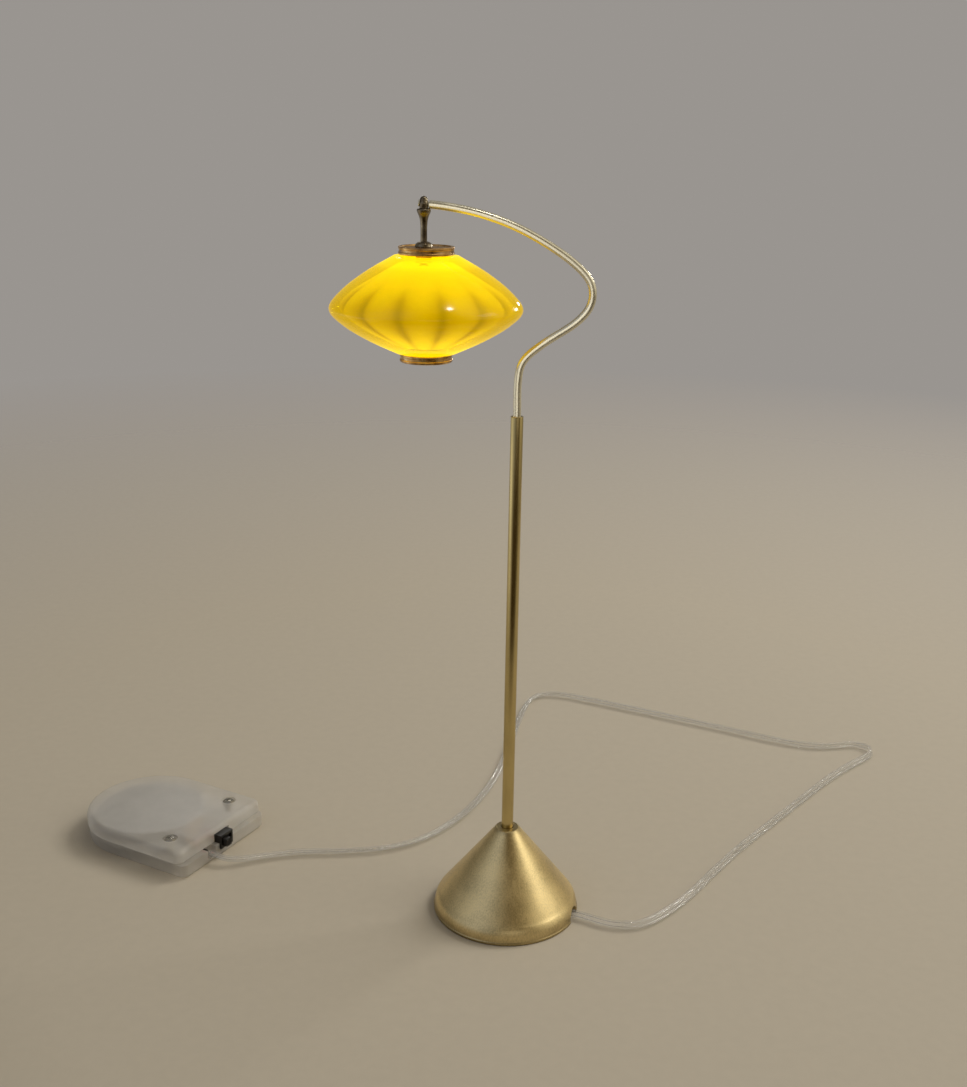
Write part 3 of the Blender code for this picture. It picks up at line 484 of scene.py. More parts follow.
def plain_metal(name, colour, rough, grain_size, depth, stretch):
    """A bare metal whose tone, gloss and surface follow one grain."""
    paint = Paint(name, Metallic=1.0)
    grain = paint.noise(grain_size * MM, stretch)
    paint.tone(grain, shaded(colour, 0.82), colour)
    paint.roughness(paint.spread(grain, rough * 0.8, rough * 1.2))
    paint.relief((grain, depth * MM))
    return paint.material


def plain_plastic(name, colour, rough, grain_size, depth, contrast):
    """A moulded or sheathed plastic with a fine surface texture."""
    paint = Paint(name, IOR=1.5)
    grain = paint.noise(grain_size * MM, detail=3.0)
    paint.tone(grain, shaded(colour, contrast), colour)
    paint.roughness(paint.spread(grain, rough * 0.85, rough * 1.15))
    paint.relief((grain, depth * MM))
    return paint.material


def felt():
    paint = Paint("felt", Sheen_Weight=0.4, Roughness=0.95)
    fibre = paint.noise(0.12 * MM, (3.0, 1.0, 1.0), 5.0)
    paint.tone(fibre, (0.02, 0.02, 0.02), (0.07, 0.07, 0.065))
    paint.relief((fibre, 0.05 * MM))
    return paint.material


def outer_acrylic(name, tint, opaque):
    """Clear yellow acrylic, glossy outside and filled with the light of the core."""
    paint = Paint(name, IOR=1.49, Specular_IOR_Level=0.4)
    haze = paint.noise(2.2 * MM, detail=3.0)
    paint.tone(haze, (0.46, 0.34, 0.0), (0.56, 0.42, 0.001))
    paint.roughness(paint.spread(haze, 0.08, 0.14))
    paint.glow(paint.ramp(paint.level("shade_shell"), (0.0, 1.5), (0.10, 0.66), (0.25, 0.50),
                          (0.45, 0.40), (0.65, 0.54), (0.88, 0.62), (0.94, 1.1), (1.0, 1.5),
                          smooth=True))
    paint.clear(tint, opaque)
    return paint.material


def core_acrylic():
    """The lit core: bright ribs, and painted shade in the valleys that fades out towards the lamp above."""
    paint = Paint("core_acrylic", Roughness=0.45)
    paint.tone(paint.noise(1.5 * MM), (0.22, 0.13, 0.0), (0.30, 0.19, 0.0))
    x, y, _ = paint.axes(paint.place)
    low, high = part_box("shade_core")
    angle = paint.math(y, paint.math(x, (low.x + high.x) / 2, "SUBTRACT"), "ARCTAN2")
    turn = paint.math(paint.math(angle, RIB_PHASE, "SUBTRACT"), RIB_COUNT / 2, "MULTIPLY")
    swell = paint.math(paint.math(turn, 0.0, "SINE"), 0.0, "ABSOLUTE")
    # Painted shade in the rib valleys: the glow is dimmed there, most at mid-height.
    valley_shade = paint.ramp(swell, (0.0, 1.0), (0.15, 0.95), (0.45, 0.42), (0.9, 0.0), smooth=True)
    level = paint.level("shade_core")
    depth = paint.ramp(level, (0.0, 0.25), (0.2, 0.95), (0.45, 1.0), (0.62, 0.95), (0.76, 0.0),
                       smooth=True)
    lamp = paint.ramp(level, (0.0, 1.3), (0.12, 0.95), (0.3, 0.46), (0.46, 0.34), (0.6, 0.50),
                      (0.8, 0.76), (1.0, 0.95), smooth=True)
    unshaded_share = paint.math(1.0, paint.math(valley_shade, depth, "MULTIPLY"), "SUBTRACT")
    paint.glow(paint.math(paint.math(lamp, unshaded_share, "MULTIPLY"), 1.45, "MULTIPLY"))
    return paint.material


def led_resin():
    paint = Paint("led_resin", IOR=1.54, Alpha=0.6, Emission_Color=(1.0, 0.85, 0.4, 1.0),
                  Emission_Strength=2.5)
    paint.tone(paint.noise(0.5 * MM), (0.9, 0.85, 0.7), (1.0, 0.95, 0.8))
    paint.roughness(paint.spread(paint.noise(0.8 * MM), 0.05, 0.12))
    return paint.material


def frosted_plastic():
    """Milky polypropylene: light scatters in it and dark things show through softly."""
    paint = Paint("frosted_plastic", IOR=1.40, Transmission_Weight=0.5)
    cloud = paint.noise(3.0 * MM, detail=4.0)
    paint.tone(cloud, (0.81, 0.78, 0.73), (0.89, 0.86, 0.80))
    paint.roughness(paint.spread(paint.noise(0.4 * MM), 0.30, 0.42))
    paint.relief((paint.noise(0.07 * MM), 0.004 * MM), (cloud, 0.02 * MM))
    paint.clear((0.97, 0.97, 0.97), 0.50)
    return paint.material


def clear_pvc():
    """Water-clear soft PVC with a bright skin."""
    paint = Paint("clear_pvc", IOR=1.40, Transmission_Weight=0.6, Coat_Weight=1.0,
                  Coat_Roughness=0.03)
    haze = paint.noise(2.0 * MM, detail=3.0)
    paint.tone(haze, (0.88, 0.88, 0.86), (0.97, 0.97, 0.96))
    paint.roughness(paint.spread(haze, 0.06, 0.16))
    paint.relief((paint.noise(0.6 * MM), 0.01 * MM))
    paint.clear((0.98, 0.98, 0.98), 0.28)
    return paint.material


def make_materials():
    """One material for each of the record's slots, and three more that each share one."""
    materials = {
        "satin_brass": satin_brass(),
        "tube_brass": tube_brass("tube_brass", POLE_BRASS, 0.17, 0.18, 1.0, 25.0),
        "arm_brass": tube_brass("arm_brass", PALE_BRASS, 0.26, 0.10, 0.7, 1.0),
        "cap_brass": cap_brass(),
        "bronze": bronze(),
        "felt": felt(),
        "yellow_acrylic": outer_acrylic("outer_acrylic", (1.0, 0.90, 0.04), 0.58),
        "acrylic_inside": outer_acrylic("acrylic_inside", (1.0, 0.99, 0.83), 0.04),
        "core_acrylic": core_acrylic(),
        "led_resin": led_resin(),
        "frosted_plastic": frosted_plastic(),
        "clear_pvc": clear_pvc(),
    }
    for name, facts in PLAIN_METALS.items():
        materials[name] = plain_metal(name, *facts)
    for name, facts in PLAIN_PLASTICS.items():
        materials[name] = plain_plastic(name, *facts)
    return materials


MATERIALS = make_materials()


# ---- shapes

def smooth_route(route, per_span):
    """Points of a Catmull-Rom curve through every point of the route."""
    points = [Vector(point) for point in route]
    ends = [2 * points[0] - points[1]] + points + [2 * points[-1] - points[-2]]
    result = []
    for a, b, c, d in zip(ends, ends[1:], ends[2:], ends[3:]):
        for step in range(per_span):
            t = step / per_span
            result.append(0.5 * (2 * b + (c - a) * t
                                 + (2 * a - 5 * b + 4 * c - d) * t ** 2
                                 + (3 * b - a - 3 * c + d) * t ** 3))
    result.append(points[-1])
    return result


def relaxed(points, rounds):
    """Even out a line's bends, keeping its two ends."""
    for _ in range(rounds):
        middle = [(a + 2 * b + c) / 4 for a, b, c in zip(points, points[1:], points[2:])]
        points = [points[0]] + middle + [points[-1]]
    return points


def eased(corners, steps=5):
    """A flat outline of (x, y) or (x, y, radius) corners, with arcs at the latter."""
    result = []
    for i, corner in enumerate(corners):
        here = Vector(corner[:2])
        if len(corner) == 2:
            result.append(here)
            continue
        radius = corner[2]
        before = (Vector(corners[i - 1][:2]) - here).normalized()
        after = (Vector(corners[(i + 1) % len(corners)][:2]) - here).normalized()
        half = before.angle(after) / 2
        centre = here + (before + after).normalized() * radius / math.sin(half)
        reach = radius / math.tan(half)
        start = here + before * reach - centre
        end = here + after * reach - centre
        for step in range(steps + 1):
            result.append(centre + start.lerp(end, step / steps).normalized() * radius)
    return result


def turned(profile, centre=(0.0, 0.0), closed=True, steps=96):
    """(radius, height) points turned about a vertical axis."""
    shape = bmesh.new()
    rim = [shape.verts.new((radius, 0.0, height)) for radius, height in profile]
    pairs = list(zip(rim, rim[1:]))
    if closed:
        pairs.append((rim[-1], rim[0]))
    edges = [shape.edges.new(pair) for pair in pairs]
    bmesh.ops.spin(shape, geom=rim + edges, angle=math.tau, steps=steps, axis=(0.0, 0.0, 1.0),
                   use_merge=True)
    bmesh.ops.remove_doubles(shape, verts=shape.verts, dist=0.0001 * MM)
    bmesh.ops.recalc_face_normals(shape, faces=shape.faces)
    bmesh.ops.translate(shape, verts=shape.verts, vec=(centre[0], centre[1], 0.0))
    return shape


def loft(rings, looped=False):
    """A skin over rings of equally many points, capped at its ends unless looped."""
    shape = bmesh.new()
    rows = [[shape.verts.new(point) for point in ring] for ring in rings]
    pairs = list(zip(rows, rows[1:]))
    if looped:
        pairs.append((rows[-1], rows[0]))
    else:
        shape.faces.new(rows[0])
        shape.faces.new(rows[-1])
    for low, high in pairs:
        for i in range(len(low)):
            j = (i + 1) % len(low)
            shape.faces.new((low[i], low[j], high[j], high[i]))
    bmesh.ops.recalc_face_normals(shape, faces=shape.faces)
    return shape


def heading(path, i):
    """The direction of a path at one of its points."""
    return (path[min(i + 1, len(path) - 1)] - path[max(i - 1, 0)]).normalized()


def round_rings(path, radius, sides):
    """A ring of points round each point of a path, carried on without a twist."""
    rings = []
    side = heading(path, 0).orthogonal()
    turns = [math.tau * i / sides for i in range(sides)]
    for i, point in enumerate(path):
        ahead = heading(path, i)
        side = (side - ahead * side.dot(ahead)).normalized()
        across = ahead.cross(side)
        rings.append([point + (side * math.cos(turn) + across * math.sin(turn)) * radius
                      for turn in turns])
    return rings


def tube(path, radius, bore=0.0, sides=32):
    """A round rod along a path, or an open tube when it has a bore."""
    outer = round_rings(path, radius, sides)
    if not bore:
        return loft(outer)
    eased_end = radius - 0.12 * (radius - bore)
    outer[0] = round_rings(path, eased_end, sides)[0]
    outer[-1] = round_rings(path, eased_end, sides)[-1]
    inner = round_rings(path, bore, sides)
    return loft(outer + inner[::-1], looped=True)


def cylinder(radius, start, end, sides=48):
    return tube([Vector(start), Vector(end)], radius, sides=sides)


def round_hole(x, y, radius, low, high):
    return cylinder(radius, (x, y, low), (x, y, high))


def box(low, high):
    shape = bmesh.new()
    bmesh.ops.create_cube(shape, size=1.0)
    bmesh.ops.scale(shape, vec=Vector(high) - Vector(low), verts=shape.verts)
    bmesh.ops.translate(shape, vec=(Vector(low) + Vector(high)) / 2, verts=shape.verts)
    return shape


def moved(shape, matrix):
    bmesh.ops.transform(shape, matrix=matrix, verts=shape.verts)
    return shape


def placed(name, data):
    """A new object in the scene, from a mesh, a camera or a light."""
    made = bpy.data.objects.new(name, data)
    bpy.context.scene.collection.objects.link(made)
    return made


def as_object(name, shape):
    mesh = bpy.data.meshes.new(name)
    shape.to_mesh(mesh)
    shape.free()
    return placed(name, mesh)


def applied(made, *helpers):
    """An object's mesh as its modifiers leave it; the object and its helpers go."""
    seen = made.evaluated_get(bpy.context.evaluated_depsgraph_get())
    result = bmesh.new()
    result.from_mesh(seen.to_mesh())
    for spare in (made, *helpers):
        bpy.data.objects.remove(spare, do_unlink=True)
    return result


def cut(shape, cutters):
    """The shape less its cutters, as one mesh again."""
    work = as_object("work", shape)
    helpers = [as_object("helper", cutter) for cutter in cutters]
    for helper in helpers:
        boolean = work.modifiers.new("cut", "BOOLEAN")
        boolean.operation = "DIFFERENCE"
        boolean.solver = "EXACT"
        boolean.object = helper
    result = applied(work, *helpers)
    bmesh.ops.remove_doubles(result, verts=result.verts, dist=0.0002 * MM)
    return result


def smooth(made, sharp):
    """Smooth shading, but for edges sharper than this angle in degrees."""
    made.data.shade_smooth()
    made.data.set_sharp_from_angle(angle=math.radians(sharp))


def ease_edges(made, width, sharp):
    edge = made.modifiers.new("edges", "BEVEL")
    edge.width = width
    edge.segments = 2
    edge.limit_method = "ANGLE"
    edge.angle_limit = math.radians(sharp)


def piece(name, shape, node, material=None, sharp=35.0, bevel=0.0):
    """File a shape as a piece that stands for a CAD node, on that node's body."""
    made = as_object(name, shape)
    smooth(made, sharp)
    made.data.materials.append(MATERIALS[material or SLOT_OF[node]])
    if bevel:
        ease_edges(made, bevel, sharp)
    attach(made, BODY_OF[node])
    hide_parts(node)
    return made


# ---- camera and the lead

def add_camera():
    data = bpy.data.cameras.new("camera")
    data.lens = CAMERA_LENS
    data.sensor_width = CAMERA_SENSOR
    data.clip_start = 0.01
    data.clip_end = 10.0
    camera = placed("camera", data)
    camera.matrix_world = (Matrix.Translation(CAMERA_PLACE)
                           @ Matrix.Rotation(math.radians(90.0 - CAMERA_PITCH), 4, "X")
                           @ Matrix.Rotation(math.radians(CAMERA_ROLL), 4, "Z"))
    bpy.context.scene.camera = camera


def lead_lean(travelled):
    """How far the flat lead leans onto its edge, in radians: most behind the lamp."""
    rise_start, rise_run = LEAN_RISE
    fall_end, fall_run = LEAN_FALL
    share = min(1.0, max(0.0, (travelled - rise_start) / rise_run))
    share *= min(1.0, max(0.0, (fall_end - travelled) / fall_run))
    ripple = LEAN_RIPPLE * math.sin(travelled / LEAN_RIPPLE_RUN)
    return math.radians(LEAN_LEAST + LEAN_SWING * share) + ripple


def twin_section():
    """Outline of two round cores side by side, joined by a web."""
    core = LEAD_WIDTH / 4
    opening = math.radians(155.0)
    steps = 10
    right = []
    for step in range(steps + 1):
        turn = -opening + 2 * opening * step / steps
        right.append((core + core * math.cos(turn), core * math.sin(turn)))
    return right + [(-x, -y) for x, y in right]


def build_lead():
    """The flat lead along its route, and the fine strand in each of its cores."""
    route = [(x, y, LEAD_LEVEL) for x, y in LEAD_ON_FLOOR] + list(LEAD_INTO_CASE)
    path = relaxed(smooth_route([Vector(point) * MM for point in route], 8), 6)
    section = twin_section()
    rings = []
    strands = ([], [])
    travelled = 0.0
    for i, point in enumerate(path):
        ahead = heading(path, i)
        travelled += (point - path[max(i - 1, 0)]).length
        level = ahead.cross(Vector((0.0, 0.0, 1.0))).normalized()
        across = Matrix.Rotation(lead_lean(travelled), 3, ahead) @ level
        upward = across.cross(ahead)
        rings.append([point + across * x + upward * y for x, y in section])
        for strand, sign in zip(strands, (1, -1)):
            strand.append(point + across * sign * LEAD_WIDTH / 4)
    lead = piece("twin_lead", loft(rings), "lead_cord", sharp=80.0)
    for strand, name in zip(strands, ("lead_strand_near", "lead_strand_far")):
        wire = as_object(name, tube(strand, STRAND_RADIUS, sides=8))
        wire.data.shade_smooth()
        wire.data.materials.append(MATERIALS["strand"])
        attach(wire, BODY_OF["lead_cord"])


# ---- stand and arm

def build_foot():
    """A thin cone that rolls over into an upright rim, with a notch for the lead."""
    slope = (FOOT_SHOULDER.x - FOOT_CROWN) / (FOOT_HEIGHT - FOOT_SHOULDER.y)
    roll = []
    first = math.sin(FOOT_ROLL_ZERO)
    for turn in FOOT_ROLL:
        run = (math.sin(turn) - first) / (1 - first)
        roll.append((FOOT_SHOULDER.x + (FOOT_RADIUS - 0.12 * MM - FOOT_SHOULDER.x) * run,
                     FOOT_LIP + (FOOT_SHOULDER.y - FOOT_LIP) * math.cos(turn)))
    inner_top = FOOT_HEIGHT - FOOT_ROOF
    inner_radius = FOOT_SHOULDER.x - FOOT_WALL - slope * (inner_top - FOOT_SHOULDER.y + 0.2 * MM)
    slant = [(FOOT_CROWN + slope * drop, FOOT_HEIGHT - drop) for drop in FOOT_SLANT]
    profile = eased([
        (FOOT_HOLE, FOOT_HEIGHT),
        (FOOT_CROWN, FOOT_HEIGHT, 0.35 * MM),
        *slant, tuple(FOOT_SHOULDER), *roll,
        (FOOT_RADIUS - 0.08 * MM, FOOT_LIP, 0.04 * MM),
        (FOOT_RADIUS, FOOT_LIP - 0.1 * MM, 0.04 * MM),
        (FOOT_RADIUS, 0.0, 0.08 * MM),
        (FOOT_RADIUS - FOOT_WALL, 0.0),
        (FOOT_RADIUS - FOOT_WALL - 0.2 * MM, 1.2 * MM),
        (FOOT_SHOULDER.x - FOOT_WALL, FOOT_SHOULDER.y - 0.2 * MM),
        (inner_radius, inner_top),
        (FOOT_HOLE, inner_top),
    ])
    outward = Vector((math.cos(NOTCH_ANGLE), math.sin(NOTCH_ANGLE), 0.0))
    notch = cylinder(NOTCH_RADIUS, *[outward * reach for reach in NOTCH_REACH])
    piece("spun_foot", cut(turned(profile, steps=160), [notch]), "base_cone", sharp=30.0)


def build_pole():
    low, high = [corner.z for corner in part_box("pole_tube")]
    corners = ((POLE_BORE, low), (POLE_RADIUS, low), (POLE_RADIUS, high), (POLE_BORE, high))
    profile = eased([(*corner, POLE_EDGE) for corner in corners], steps=3)
    piece("pole", turned(profile, steps=64), "pole_tube")


def arm_path():
    route = [Vector((x, 0.0, z)) * MM for x, z in ARM_ROUTE]
    return relaxed(smooth_route(route, 12), 10)


def build_arm():
    path = arm_path()
    piece("bowed_arm", tube(path, ARM_RADIUS, ARM_BORE, sides=40), "arm_tube", "arm_brass")
    head = EYE_OFFSET + PIN_GRIP
    profile = eased([
        (PIN_BORE, head + PIN_HEAD_HEIGHT),
        (PIN_HEAD, head + PIN_HEAD_HEIGHT, 0.1 * MM),
        (PIN_HEAD, head, 0.03 * MM),
        (PIN_RADIUS, head),
        (PIN_RADIUS, PIN_ROOT),
        (PIN_BORE, PIN_ROOT),
    ])
    place = (Matrix.Translation(PIVOT - PIVOT_AXIS * EYE_OFFSET)
             @ PIVOT_AXIS.to_track_quat("Z", "Y").to_matrix().to_4x4())
    piece("tip_pin", moved(turned(profile, steps=40), place), "arm_tip_pin", "arm_brass")


# ---- shade

def ball_arc(radius, height, start, end, steps=10):
    """Part of a half circle of (radius, height) points; 0 degrees is its top."""
    turns = [math.radians(start + (end - start) * i / steps) for i in range(steps + 1)]
    return [(radius * math.sin(turn), height + radius * math.cos(turn)) for turn in turns]


def build_hanger():
    bottom, top = [corner.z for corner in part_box("drop_stem")]
    profile = ball_arc(FINIAL_RADIUS, top - FINIAL_RADIUS, 0.0, 98.0)
    profile += ball_arc(EYE_RADIUS, PIVOT.z, 56.0, 108.0)
    neck = [(radius * MM, PIVOT.z + height * MM) for radius, height in NECK_CURVE]
    profile += [tuple(point) for point in smooth_route(neck, 5)]
    profile += [(STEM_RADIUS, PIVOT.z - 6.0 * MM), (STEM_RADIUS, bottom), (0.0, bottom)]
    bore = cylinder(EYE_BORE, PIVOT - PIVOT_AXIS * EYE_REACH, PIVOT + PIVOT_AXIS * EYE_REACH)
    way = cylinder(STEM_BORE, (PIVOT.x, 0.0, bottom - MM), PIVOT, 24)
    stem = turned(profile, (PIVOT.x, 0.0), closed=False, steps=56)
    piece("hanger", cut(stem, [bore, way]), "drop_stem", sharp=45.0)


def cap_rim(radius, bottom, top, low_ease, high_ease):
    """Corners down a cap's rim: its two beads, and the waist between them."""
    waist = radius - CAP_WAIST
    return [
        (radius, top, high_ease), (radius, top - CAP_BEAD, 0.03 * MM),
        (waist, top - CAP_BEAD_END, 0.03 * MM), (waist, bottom + CAP_BEAD_END, 0.03 * MM),
        (radius, bottom + CAP_BEAD, 0.03 * MM), (radius, bottom, low_ease),
    ]


def build_caps(shade_axis):
    stem_axis = (PIVOT.x, 0.0)
    low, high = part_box("shade_cap_top")
    radius = (high.x - low.x) / 2
    dish = radius - CAP_LIP_TOP
    profile = eased([
        (0.0, high.z - CAP_DISH), (dish - 0.12 * MM, high.z - CAP_DISH, 0.08 * MM),
        (dish, high.z, 0.08 * MM),
        *cap_rim(radius, low.z, high.z, 0.1 * MM, 0.12 * MM),
        (0.0, low.z),
    ])
    hole = round_hole(*stem_axis, SLEEVE, low.z - MM, high.z + MM)
    cap = turned(profile, shade_axis, closed=False)
    piece("top_cap", cut(cap, [hole]), "shade_cap_top")

    low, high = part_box("cap_collar")
    profile = eased([
        (SLEEVE, high.z), (0.85 * MM, high.z - 0.08 * MM, 0.1 * MM),
        (1.25 * MM, high.z - 0.38 * MM, 0.25 * MM), (1.4 * MM, low.z, 0.05 * MM), (SLEEVE, low.z),
    ])
    piece("collar", turned(profile, stem_axis, steps=56), "cap_collar")

    low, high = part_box("shade_cap_bottom")
    radius = (high.x - low.x) / 2
    dish = radius - CAP_LIP_BOTTOM
    profile = eased([
        (0.0, high.z),
        *cap_rim(radius, low.z, high.z, 0.12 * MM, 0.1 * MM),
        (dish, low.z, 0.08 * MM),
        (dish - 0.12 * MM, low.z + CAP_DISH, 0.08 * MM), (0.0, low.z + CAP_DISH),
    ])
    piece("bottom_cap", turned(profile, shade_axis, closed=False), "shade_cap_bottom")


def thick(shape, wall, inside=0):
    """A thin sheet given its wall on the inner side, as one closed mesh.

    inside is how far along the piece's list of materials its inner faces find theirs.
    The sheet borrows two materials, because the offset stops at the end of its own list.
    """
    sheet = as_object("sheet", shape)
    for name in ("yellow_acrylic", "acrylic_inside"):
        sheet.data.materials.append(MATERIALS[name])
    solid = sheet.modifiers.new("wall", "SOLIDIFY")
    solid.thickness = wall
    solid.offset = -1.0
    solid.use_even_offset = True
    solid.material_offset = inside
    return applied(sheet)


def outward_sheet(shape, centre):
    """Turn an open sheet's faces away from a vertical axis."""
    face = max(shape.faces, key=lambda f: (f.calc_center_median().xy - Vector(centre)).length)
    if face.normal.xy.dot(face.calc_center_median().xy - Vector(centre)) < 0:
        bmesh.ops.reverse_faces(shape, faces=shape.faces)
    return shape


def build_shade():
    low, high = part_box("shade_shell")
    shade_axis = ((low.x + high.x) / 2, 0.0)
    outline = [(SHADE_HOLE, high.z)]
    outline += [(r * MM, z * MM) for r, z in smooth_route(SHADE_CURVE, 10)]
    outline.append((SHADE_HOLE, low.z))
    shell = outward_sheet(turned(outline, shade_axis, closed=False, steps=160), shade_axis)
    made = piece("outer_shade", thick(shell, SHADE_WALL, inside=1), "shade_shell", sharp=50.0)
    made.data.materials.append(MATERIALS["acrylic_inside"])

    curve = [(r * MM, z * MM) for r, z in smooth_route(CORE_CURVE, 6)]
    core = turned(curve, closed=False, steps=RIB_COUNT * 18)
    widest = max(radius for radius, _ in curve)
    for vertex in core.verts:
        radius = vertex.co.xy.length
        angle = math.atan2(vertex.co.y, vertex.co.x) - RIB_PHASE
        swell = abs(math.sin(RIB_COUNT / 2 * angle))
        vertex.co.xy *= (radius - RIB_DEPTH * (1 - swell) * (radius / widest) ** 2) / radius
    core.normal_update()
    bmesh.ops.translate(core, verts=core.verts, vec=(*shade_axis, 0.0))
    core = outward_sheet(core, shade_axis)
    piece("ribbed_core", thick(core, CORE_WALL), "shade_core", sharp=60.0)

    build_caps(shade_axis)
    low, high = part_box("led_body")
    flange_bottom = high.z - MM
    profile = [(0.0, high.z), (LED_FLANGE, high.z), (LED_FLANGE, flange_bottom),
               (LED_RADIUS, flange_bottom)]
    dome = ball_arc(LED_RADIUS, low.z + LED_RADIUS, 90.0, 180.0, 12)
    piece("lamp_bulb", turned(profile + dome, (PIVOT.x, 0.0), closed=False, steps=48), "led_body",
          sharp=50.0)


# ---- battery case

def case_outline(front, inset):
    """Flat switch end with eased corners, straight sides and a round far end."""
    half = CASE_HALF_WIDTH - inset
    face = front + inset
    points = [(CELL_CENTRE, half), (face, half, CASE_EASE), (face, -half, CASE_EASE)]
    outline = eased(points + [(CELL_CENTRE, -half)], steps=8)
    for step in range(1, 60):
        turn = math.radians(-90 + 3 * step)
        outline.append(Vector((CELL_CENTRE + half * math.cos(turn), half * math.sin(turn))))
    return outline


def case_slab(front, inset, bottom, top, low_edge, high_edge):
    """A slab in the case's outline, with rounded lower and upper edges."""
    layers = []
    for edge, start, sign in ((low_edge, bottom, 1), (high_edge, top, -1)):
        arc = [(inset + edge * (1 - math.sin(turn)), start + sign * edge * (1 - math.cos(turn)))
               for turn in (math.radians(18.0 * i) for i in range(6))]
        layers += arc if sign > 0 else arc[::-1]
    return loft([[(point.x, point.y, height) for point in case_outline(front, step)]
                 for step, height in layers])


def case_piece(name, shape, node, **extra):
    piece(name, moved(shape, CASE_FRAME), node, **extra)


def build_case():
    """The tray and the cover, with their pockets, and everything that sits in them."""
    gland = box((-MM, LEAD_ENTRY - LEAD_GLAND, CASE_FLOOR + 0.05 * MM),
                (BAY[0][0] + 0.5 * MM, LEAD_ENTRY + LEAD_GLAND, TRAY_HEIGHT + 0.1 * MM))
    tray_cuts = [
        round_hole(CELL_CENTRE, 0.0, CELL_POCKET, CASE_FLOOR, TRAY_HEIGHT + MM),
        box((*BAY[0], CASE_FLOOR), (*BAY[1], TRAY_HEIGHT + MM)),
        box(*SWITCH_WELL), gland,
    ]
    window_reach = SWITCH_HIGH.y + 0.4 * MM
    cover_cuts = [
        round_hole(CELL_CENTRE, 0.0, CELL_POCKET, COVER_BOTTOM - MM, CASE_HEIGHT - CASE_FLOOR),
        box((*BAY[0], COVER_BOTTOM - MM), (*BAY[1], CASE_HEIGHT - CASE_FLOOR)),
        box((0.0, -window_reach, COVER_BOTTOM - MM),
            (2.4 * MM, window_reach, CASE_HEIGHT - 0.9 * MM)),
    ]
    for y in (SCREW_Y, -SCREW_Y):
        tray_cuts.append(round_hole(SCREW_X, y, *SCREW_HOLE))
        cover_cuts.append(round_hole(SCREW_X, y, *SCREW_HOLE))
        cover_cuts.append(round_hole(SCREW_X, y, *SCREW_SINK))
    tray = case_slab(0.0, TRAY_INSET, 0.0, TRAY_HEIGHT, TRAY_EDGE, SEAM_EDGE)
    case_piece("tray", cut(tray, tray_cuts), "case_tray", sharp=32.0)
    cover = case_slab(COVER_FRONT, 0.0, COVER_BOTTOM, CASE_HEIGHT, SEAM_EDGE, COVER_EDGE)
    case_piece("cover", cut(cover, cover_cuts), "case_cover", sharp=32.0)

    for side, name in ((1, "near"), (-1, "far")):
        build_screw("screw_" + name, (SCREW_X, side * SCREW_Y))
    build_cell()
    build_switch()


def build_screw(name, spot):
    """A cross-head screw with a domed head."""
    profile = eased([
        (0.0, SCREW_TOP), (0.7 * MM, SCREW_TOP - 0.05 * MM, 0.4 * MM),
        (SCREW_HEAD, SCREW_TOP - 0.3 * MM, 0.08 * MM), (SCREW_HEAD, SCREW_COLLAR, 0.05 * MM),
        (SCREW_SHANK, SCREW_COLLAR), (SCREW_SHANK, SCREW_TIP + 0.3 * MM),
        (0.3 * MM, SCREW_TIP), (0.0, SCREW_TIP),
    ])
    slots = []
    for turn in SCREW_TURNS:
        place = Matrix.Translation((*spot, 0.0)) @ Matrix.Rotation(math.radians(turn), 4, "Z")
        slots.append(moved(box(SCREW_SLOT_LOW, SCREW_SLOT_HIGH), place))
    screw = turned(profile, spot, closed=False, steps=48)
    case_piece(name, cut(screw, slots), "case_" + name, sharp=30.0)


def build_cell():
    """The coin cell: a rounded can over a smaller, stepped cap."""
    profile = eased([
        (0.0, CELL_TOP), (8.6 * MM, CELL_TOP, 0.05 * MM),
        (8.7 * MM, CELL_TOP - 0.04 * MM, 0.05 * MM),
        (CELL_RADIUS, CELL_TOP - 0.04 * MM, 0.3 * MM),
        (CELL_RADIUS, CELL_BOTTOM + 0.4 * MM, 0.25 * MM),
        (CELL_RADIUS - 0.5 * MM, CELL_BOTTOM + 0.25 * MM),
        (CELL_RADIUS - 1.1 * MM, CELL_BOTTOM + 0.25 * MM),
        (CELL_RADIUS - 1.3 * MM, CELL_BOTTOM, 0.15 * MM), (0.0, CELL_BOTTOM),
    ])
    cell = turned(profile, (CELL_CENTRE, 0.0), closed=False, steps=128)
    case_piece("button_cell", cell, "coin_cell")


def build_switch():
    """The slide switch: a block with a slot, and a ribbed knob in it."""
    middle = (SLIDER_LOW + SLIDER_HIGH) / 2
    lift = (SLIDER_HIGH.z - SLIDER_LOW.z) / 2 + 0.08 * MM
    groove = box((-MM, -SLIDER_SWING, middle.z - lift), (0.6 * MM, SLIDER_SWING, middle.z + lift))
    block = cut(box(SWITCH_LOW, SWITCH_HIGH), [groove])
    case_piece("switch_block", block, "switch_body", sharp=30.0, bevel=0.07 * MM)
    grooves = []
    for i in (-1, 0, 1):
        y = middle.y + i * SLIDER_RIB_PITCH
        grooves.append(box((SLIDER_LOW.x - MM, y - 0.07 * MM, SLIDER_LOW.z - MM),
                           (SLIDER_LOW.x + 0.14 * MM, y + 0.07 * MM, SLIDER_HIGH.z + MM)))
    knob = cut(box(SLIDER_LOW, SLIDER_HIGH), grooves)
    case_piece("switch_knob", knob, "switch_slider", sharp=30.0, bevel=0.05 * MM)


# ---- carried parts and studio

def finish_carried_nodes():
    """Give every CAD solid that still shows its slot's material, and the strips eased edges."""
    for name, node in frame["nodes"].items():
        if node.hide_render:
            continue
        node.data.materials.clear()
        node.data.materials.append(MATERIALS[SLOT_OF[name]])
        weld = node.modifiers.new("weld", "WELD")
        weld.merge_threshold = 0.0005 * MM
        if name.startswith(("contact", "led")):
            ease_edges(node, 0.04 * MM, CARRIED_SHARP)
        smooth(node, CARRIED_SHARP)


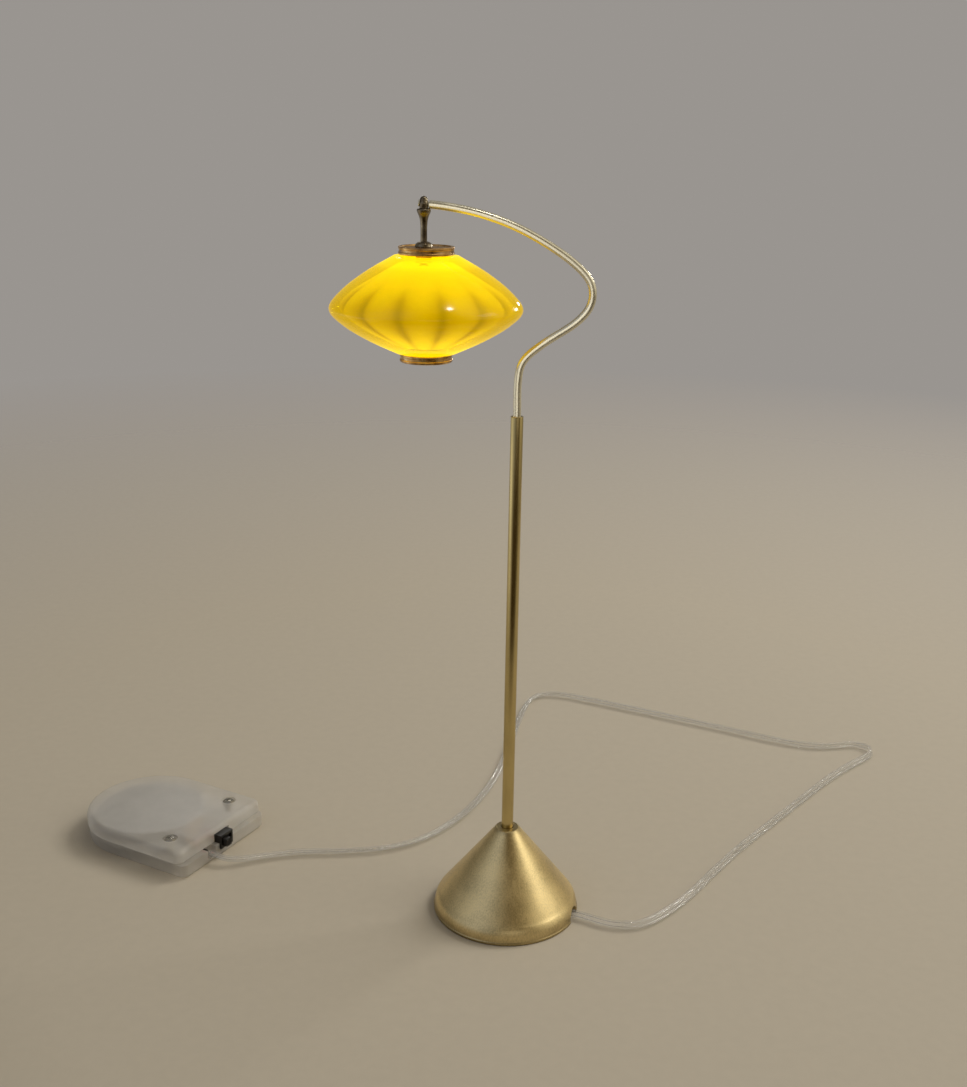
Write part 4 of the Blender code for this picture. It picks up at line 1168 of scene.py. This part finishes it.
def build_floor():
    """A pale disc that fades into the backdrop far from the lamp."""
    shape = bmesh.new()
    bmesh.ops.create_circle(shape, cap_ends=True, segments=96, radius=FLOOR_RADIUS)
    bmesh.ops.translate(shape, verts=shape.verts, vec=(0.0, 0.0, -FLOOR_DROP))
    floor = as_object("floor", shape)
    paint = Paint("floor", Roughness=0.9)
    grain = paint.noise(2.0 * MM)
    paint.tone(grain, shaded(FLOOR_COLOUR, 0.97), FLOOR_COLOUR)
    away = paint.node("ShaderNodeVectorMath", operation="DISTANCE")
    paint.feed(paint.place, away.inputs[0])
    away.inputs[1].default_value = (0.0, FADE_CENTRE, 0.0)
    reach = paint.spread(away.outputs["Value"], 1.0, 0.0, *FADE_REACH)
    front = paint.spread(paint.axes(paint.place)[1], 0.0, 1.0, *FADE_FRONT)
    paint.feed(paint.math(reach, front, "MULTIPLY"), paint.shader.inputs["Alpha"])
    floor.data.materials.append(paint.material)


def build_surroundings():
    """An even backdrop, and the pale walls and dark room that the metal reflects."""
    world = bpy.data.worlds.new("studio")
    bpy.context.scene.world = world
    world.use_nodes = True
    world.node_tree.nodes.clear()
    sky = Nodes(world.node_tree)
    x, y, z = sky.axes(sky.node("ShaderNodeTexCoord").outputs["Generated"])
    azimuth = sky.math(x, sky.math(y, -1.0, "MULTIPLY"), "ARCTAN2")
    turn = sky.spread(azimuth, 0.0, 1.0, -math.pi, math.pi)
    layers = [sky.ramp(turn, *[(0.5 + degrees / 360.0, colour) for degrees, colour in stops])
              for stops in (LOW_ROOM, HIGH_ROOM)]
    walls = sky.blend(layers[0], layers[1], sky.spread(z, 0.0, 1.0, *LOW_TO_HIGH))
    colour = sky.blend(walls, CEILING, sky.spread(z, 0.0, 1.0, *HIGH_TO_CEILING))
    room = sky.node("ShaderNodeBackground")
    sky.feed(colour, room.inputs["Color"])
    backdrop = sky.node("ShaderNodeBackground")
    backdrop.inputs["Color"].default_value = (*BACKDROP, 1.0)
    direct = sky.node("ShaderNodeLightPath").outputs["Is Camera Ray"]
    both = sky.mixed(room.outputs[0], backdrop.outputs[0], direct)
    sky.feed(both, sky.node("ShaderNodeOutputWorld").inputs["Surface"])


def add_light(name, azimuth, elevation, distance, size, power, serves):
    """An unseen light aimed at the lamp; azimuth 0 is in front of it and 90 to its right."""
    data = bpy.data.lights.new(name, "AREA")
    data.shape = "RECTANGLE"
    data.size, data.size_y = size
    data.energy = power
    data.color = LIGHT_COLOUR
    light = placed(name, data)
    light.visible_camera = False
    light.visible_glossy = serves != "shading"
    light.visible_diffuse = serves != "gloss"
    turn = math.radians(azimuth)
    rise = math.radians(elevation)
    direction = Vector((math.sin(turn) * math.cos(rise), -math.cos(turn) * math.cos(rise),
                        math.sin(rise)))
    light.location = LIGHT_AIM + direction * distance
    light.rotation_euler = (-direction).to_track_quat("-Z", "Y").to_euler()
    return light


def build_lights():
    """All the lights; the near panel is for the arm alone, so that the foot doesn't mirror it."""
    lights = {light[0]: add_light(*light) for light in LIGHTS}
    receivers = bpy.data.collections.new("arm_panel_receivers")
    receivers.objects.link(bpy.data.objects["bowed_arm"])
    lights["arm_panel"].light_linking.receiver_collection = receivers


add_camera()
build_lead()
build_foot()
build_pole()
build_arm()
build_hanger()
build_shade()
build_case()
finish_carried_nodes()
build_floor()
build_surroundings()
build_lights()
bpy.context.scene.view_settings.view_transform = "Standard"
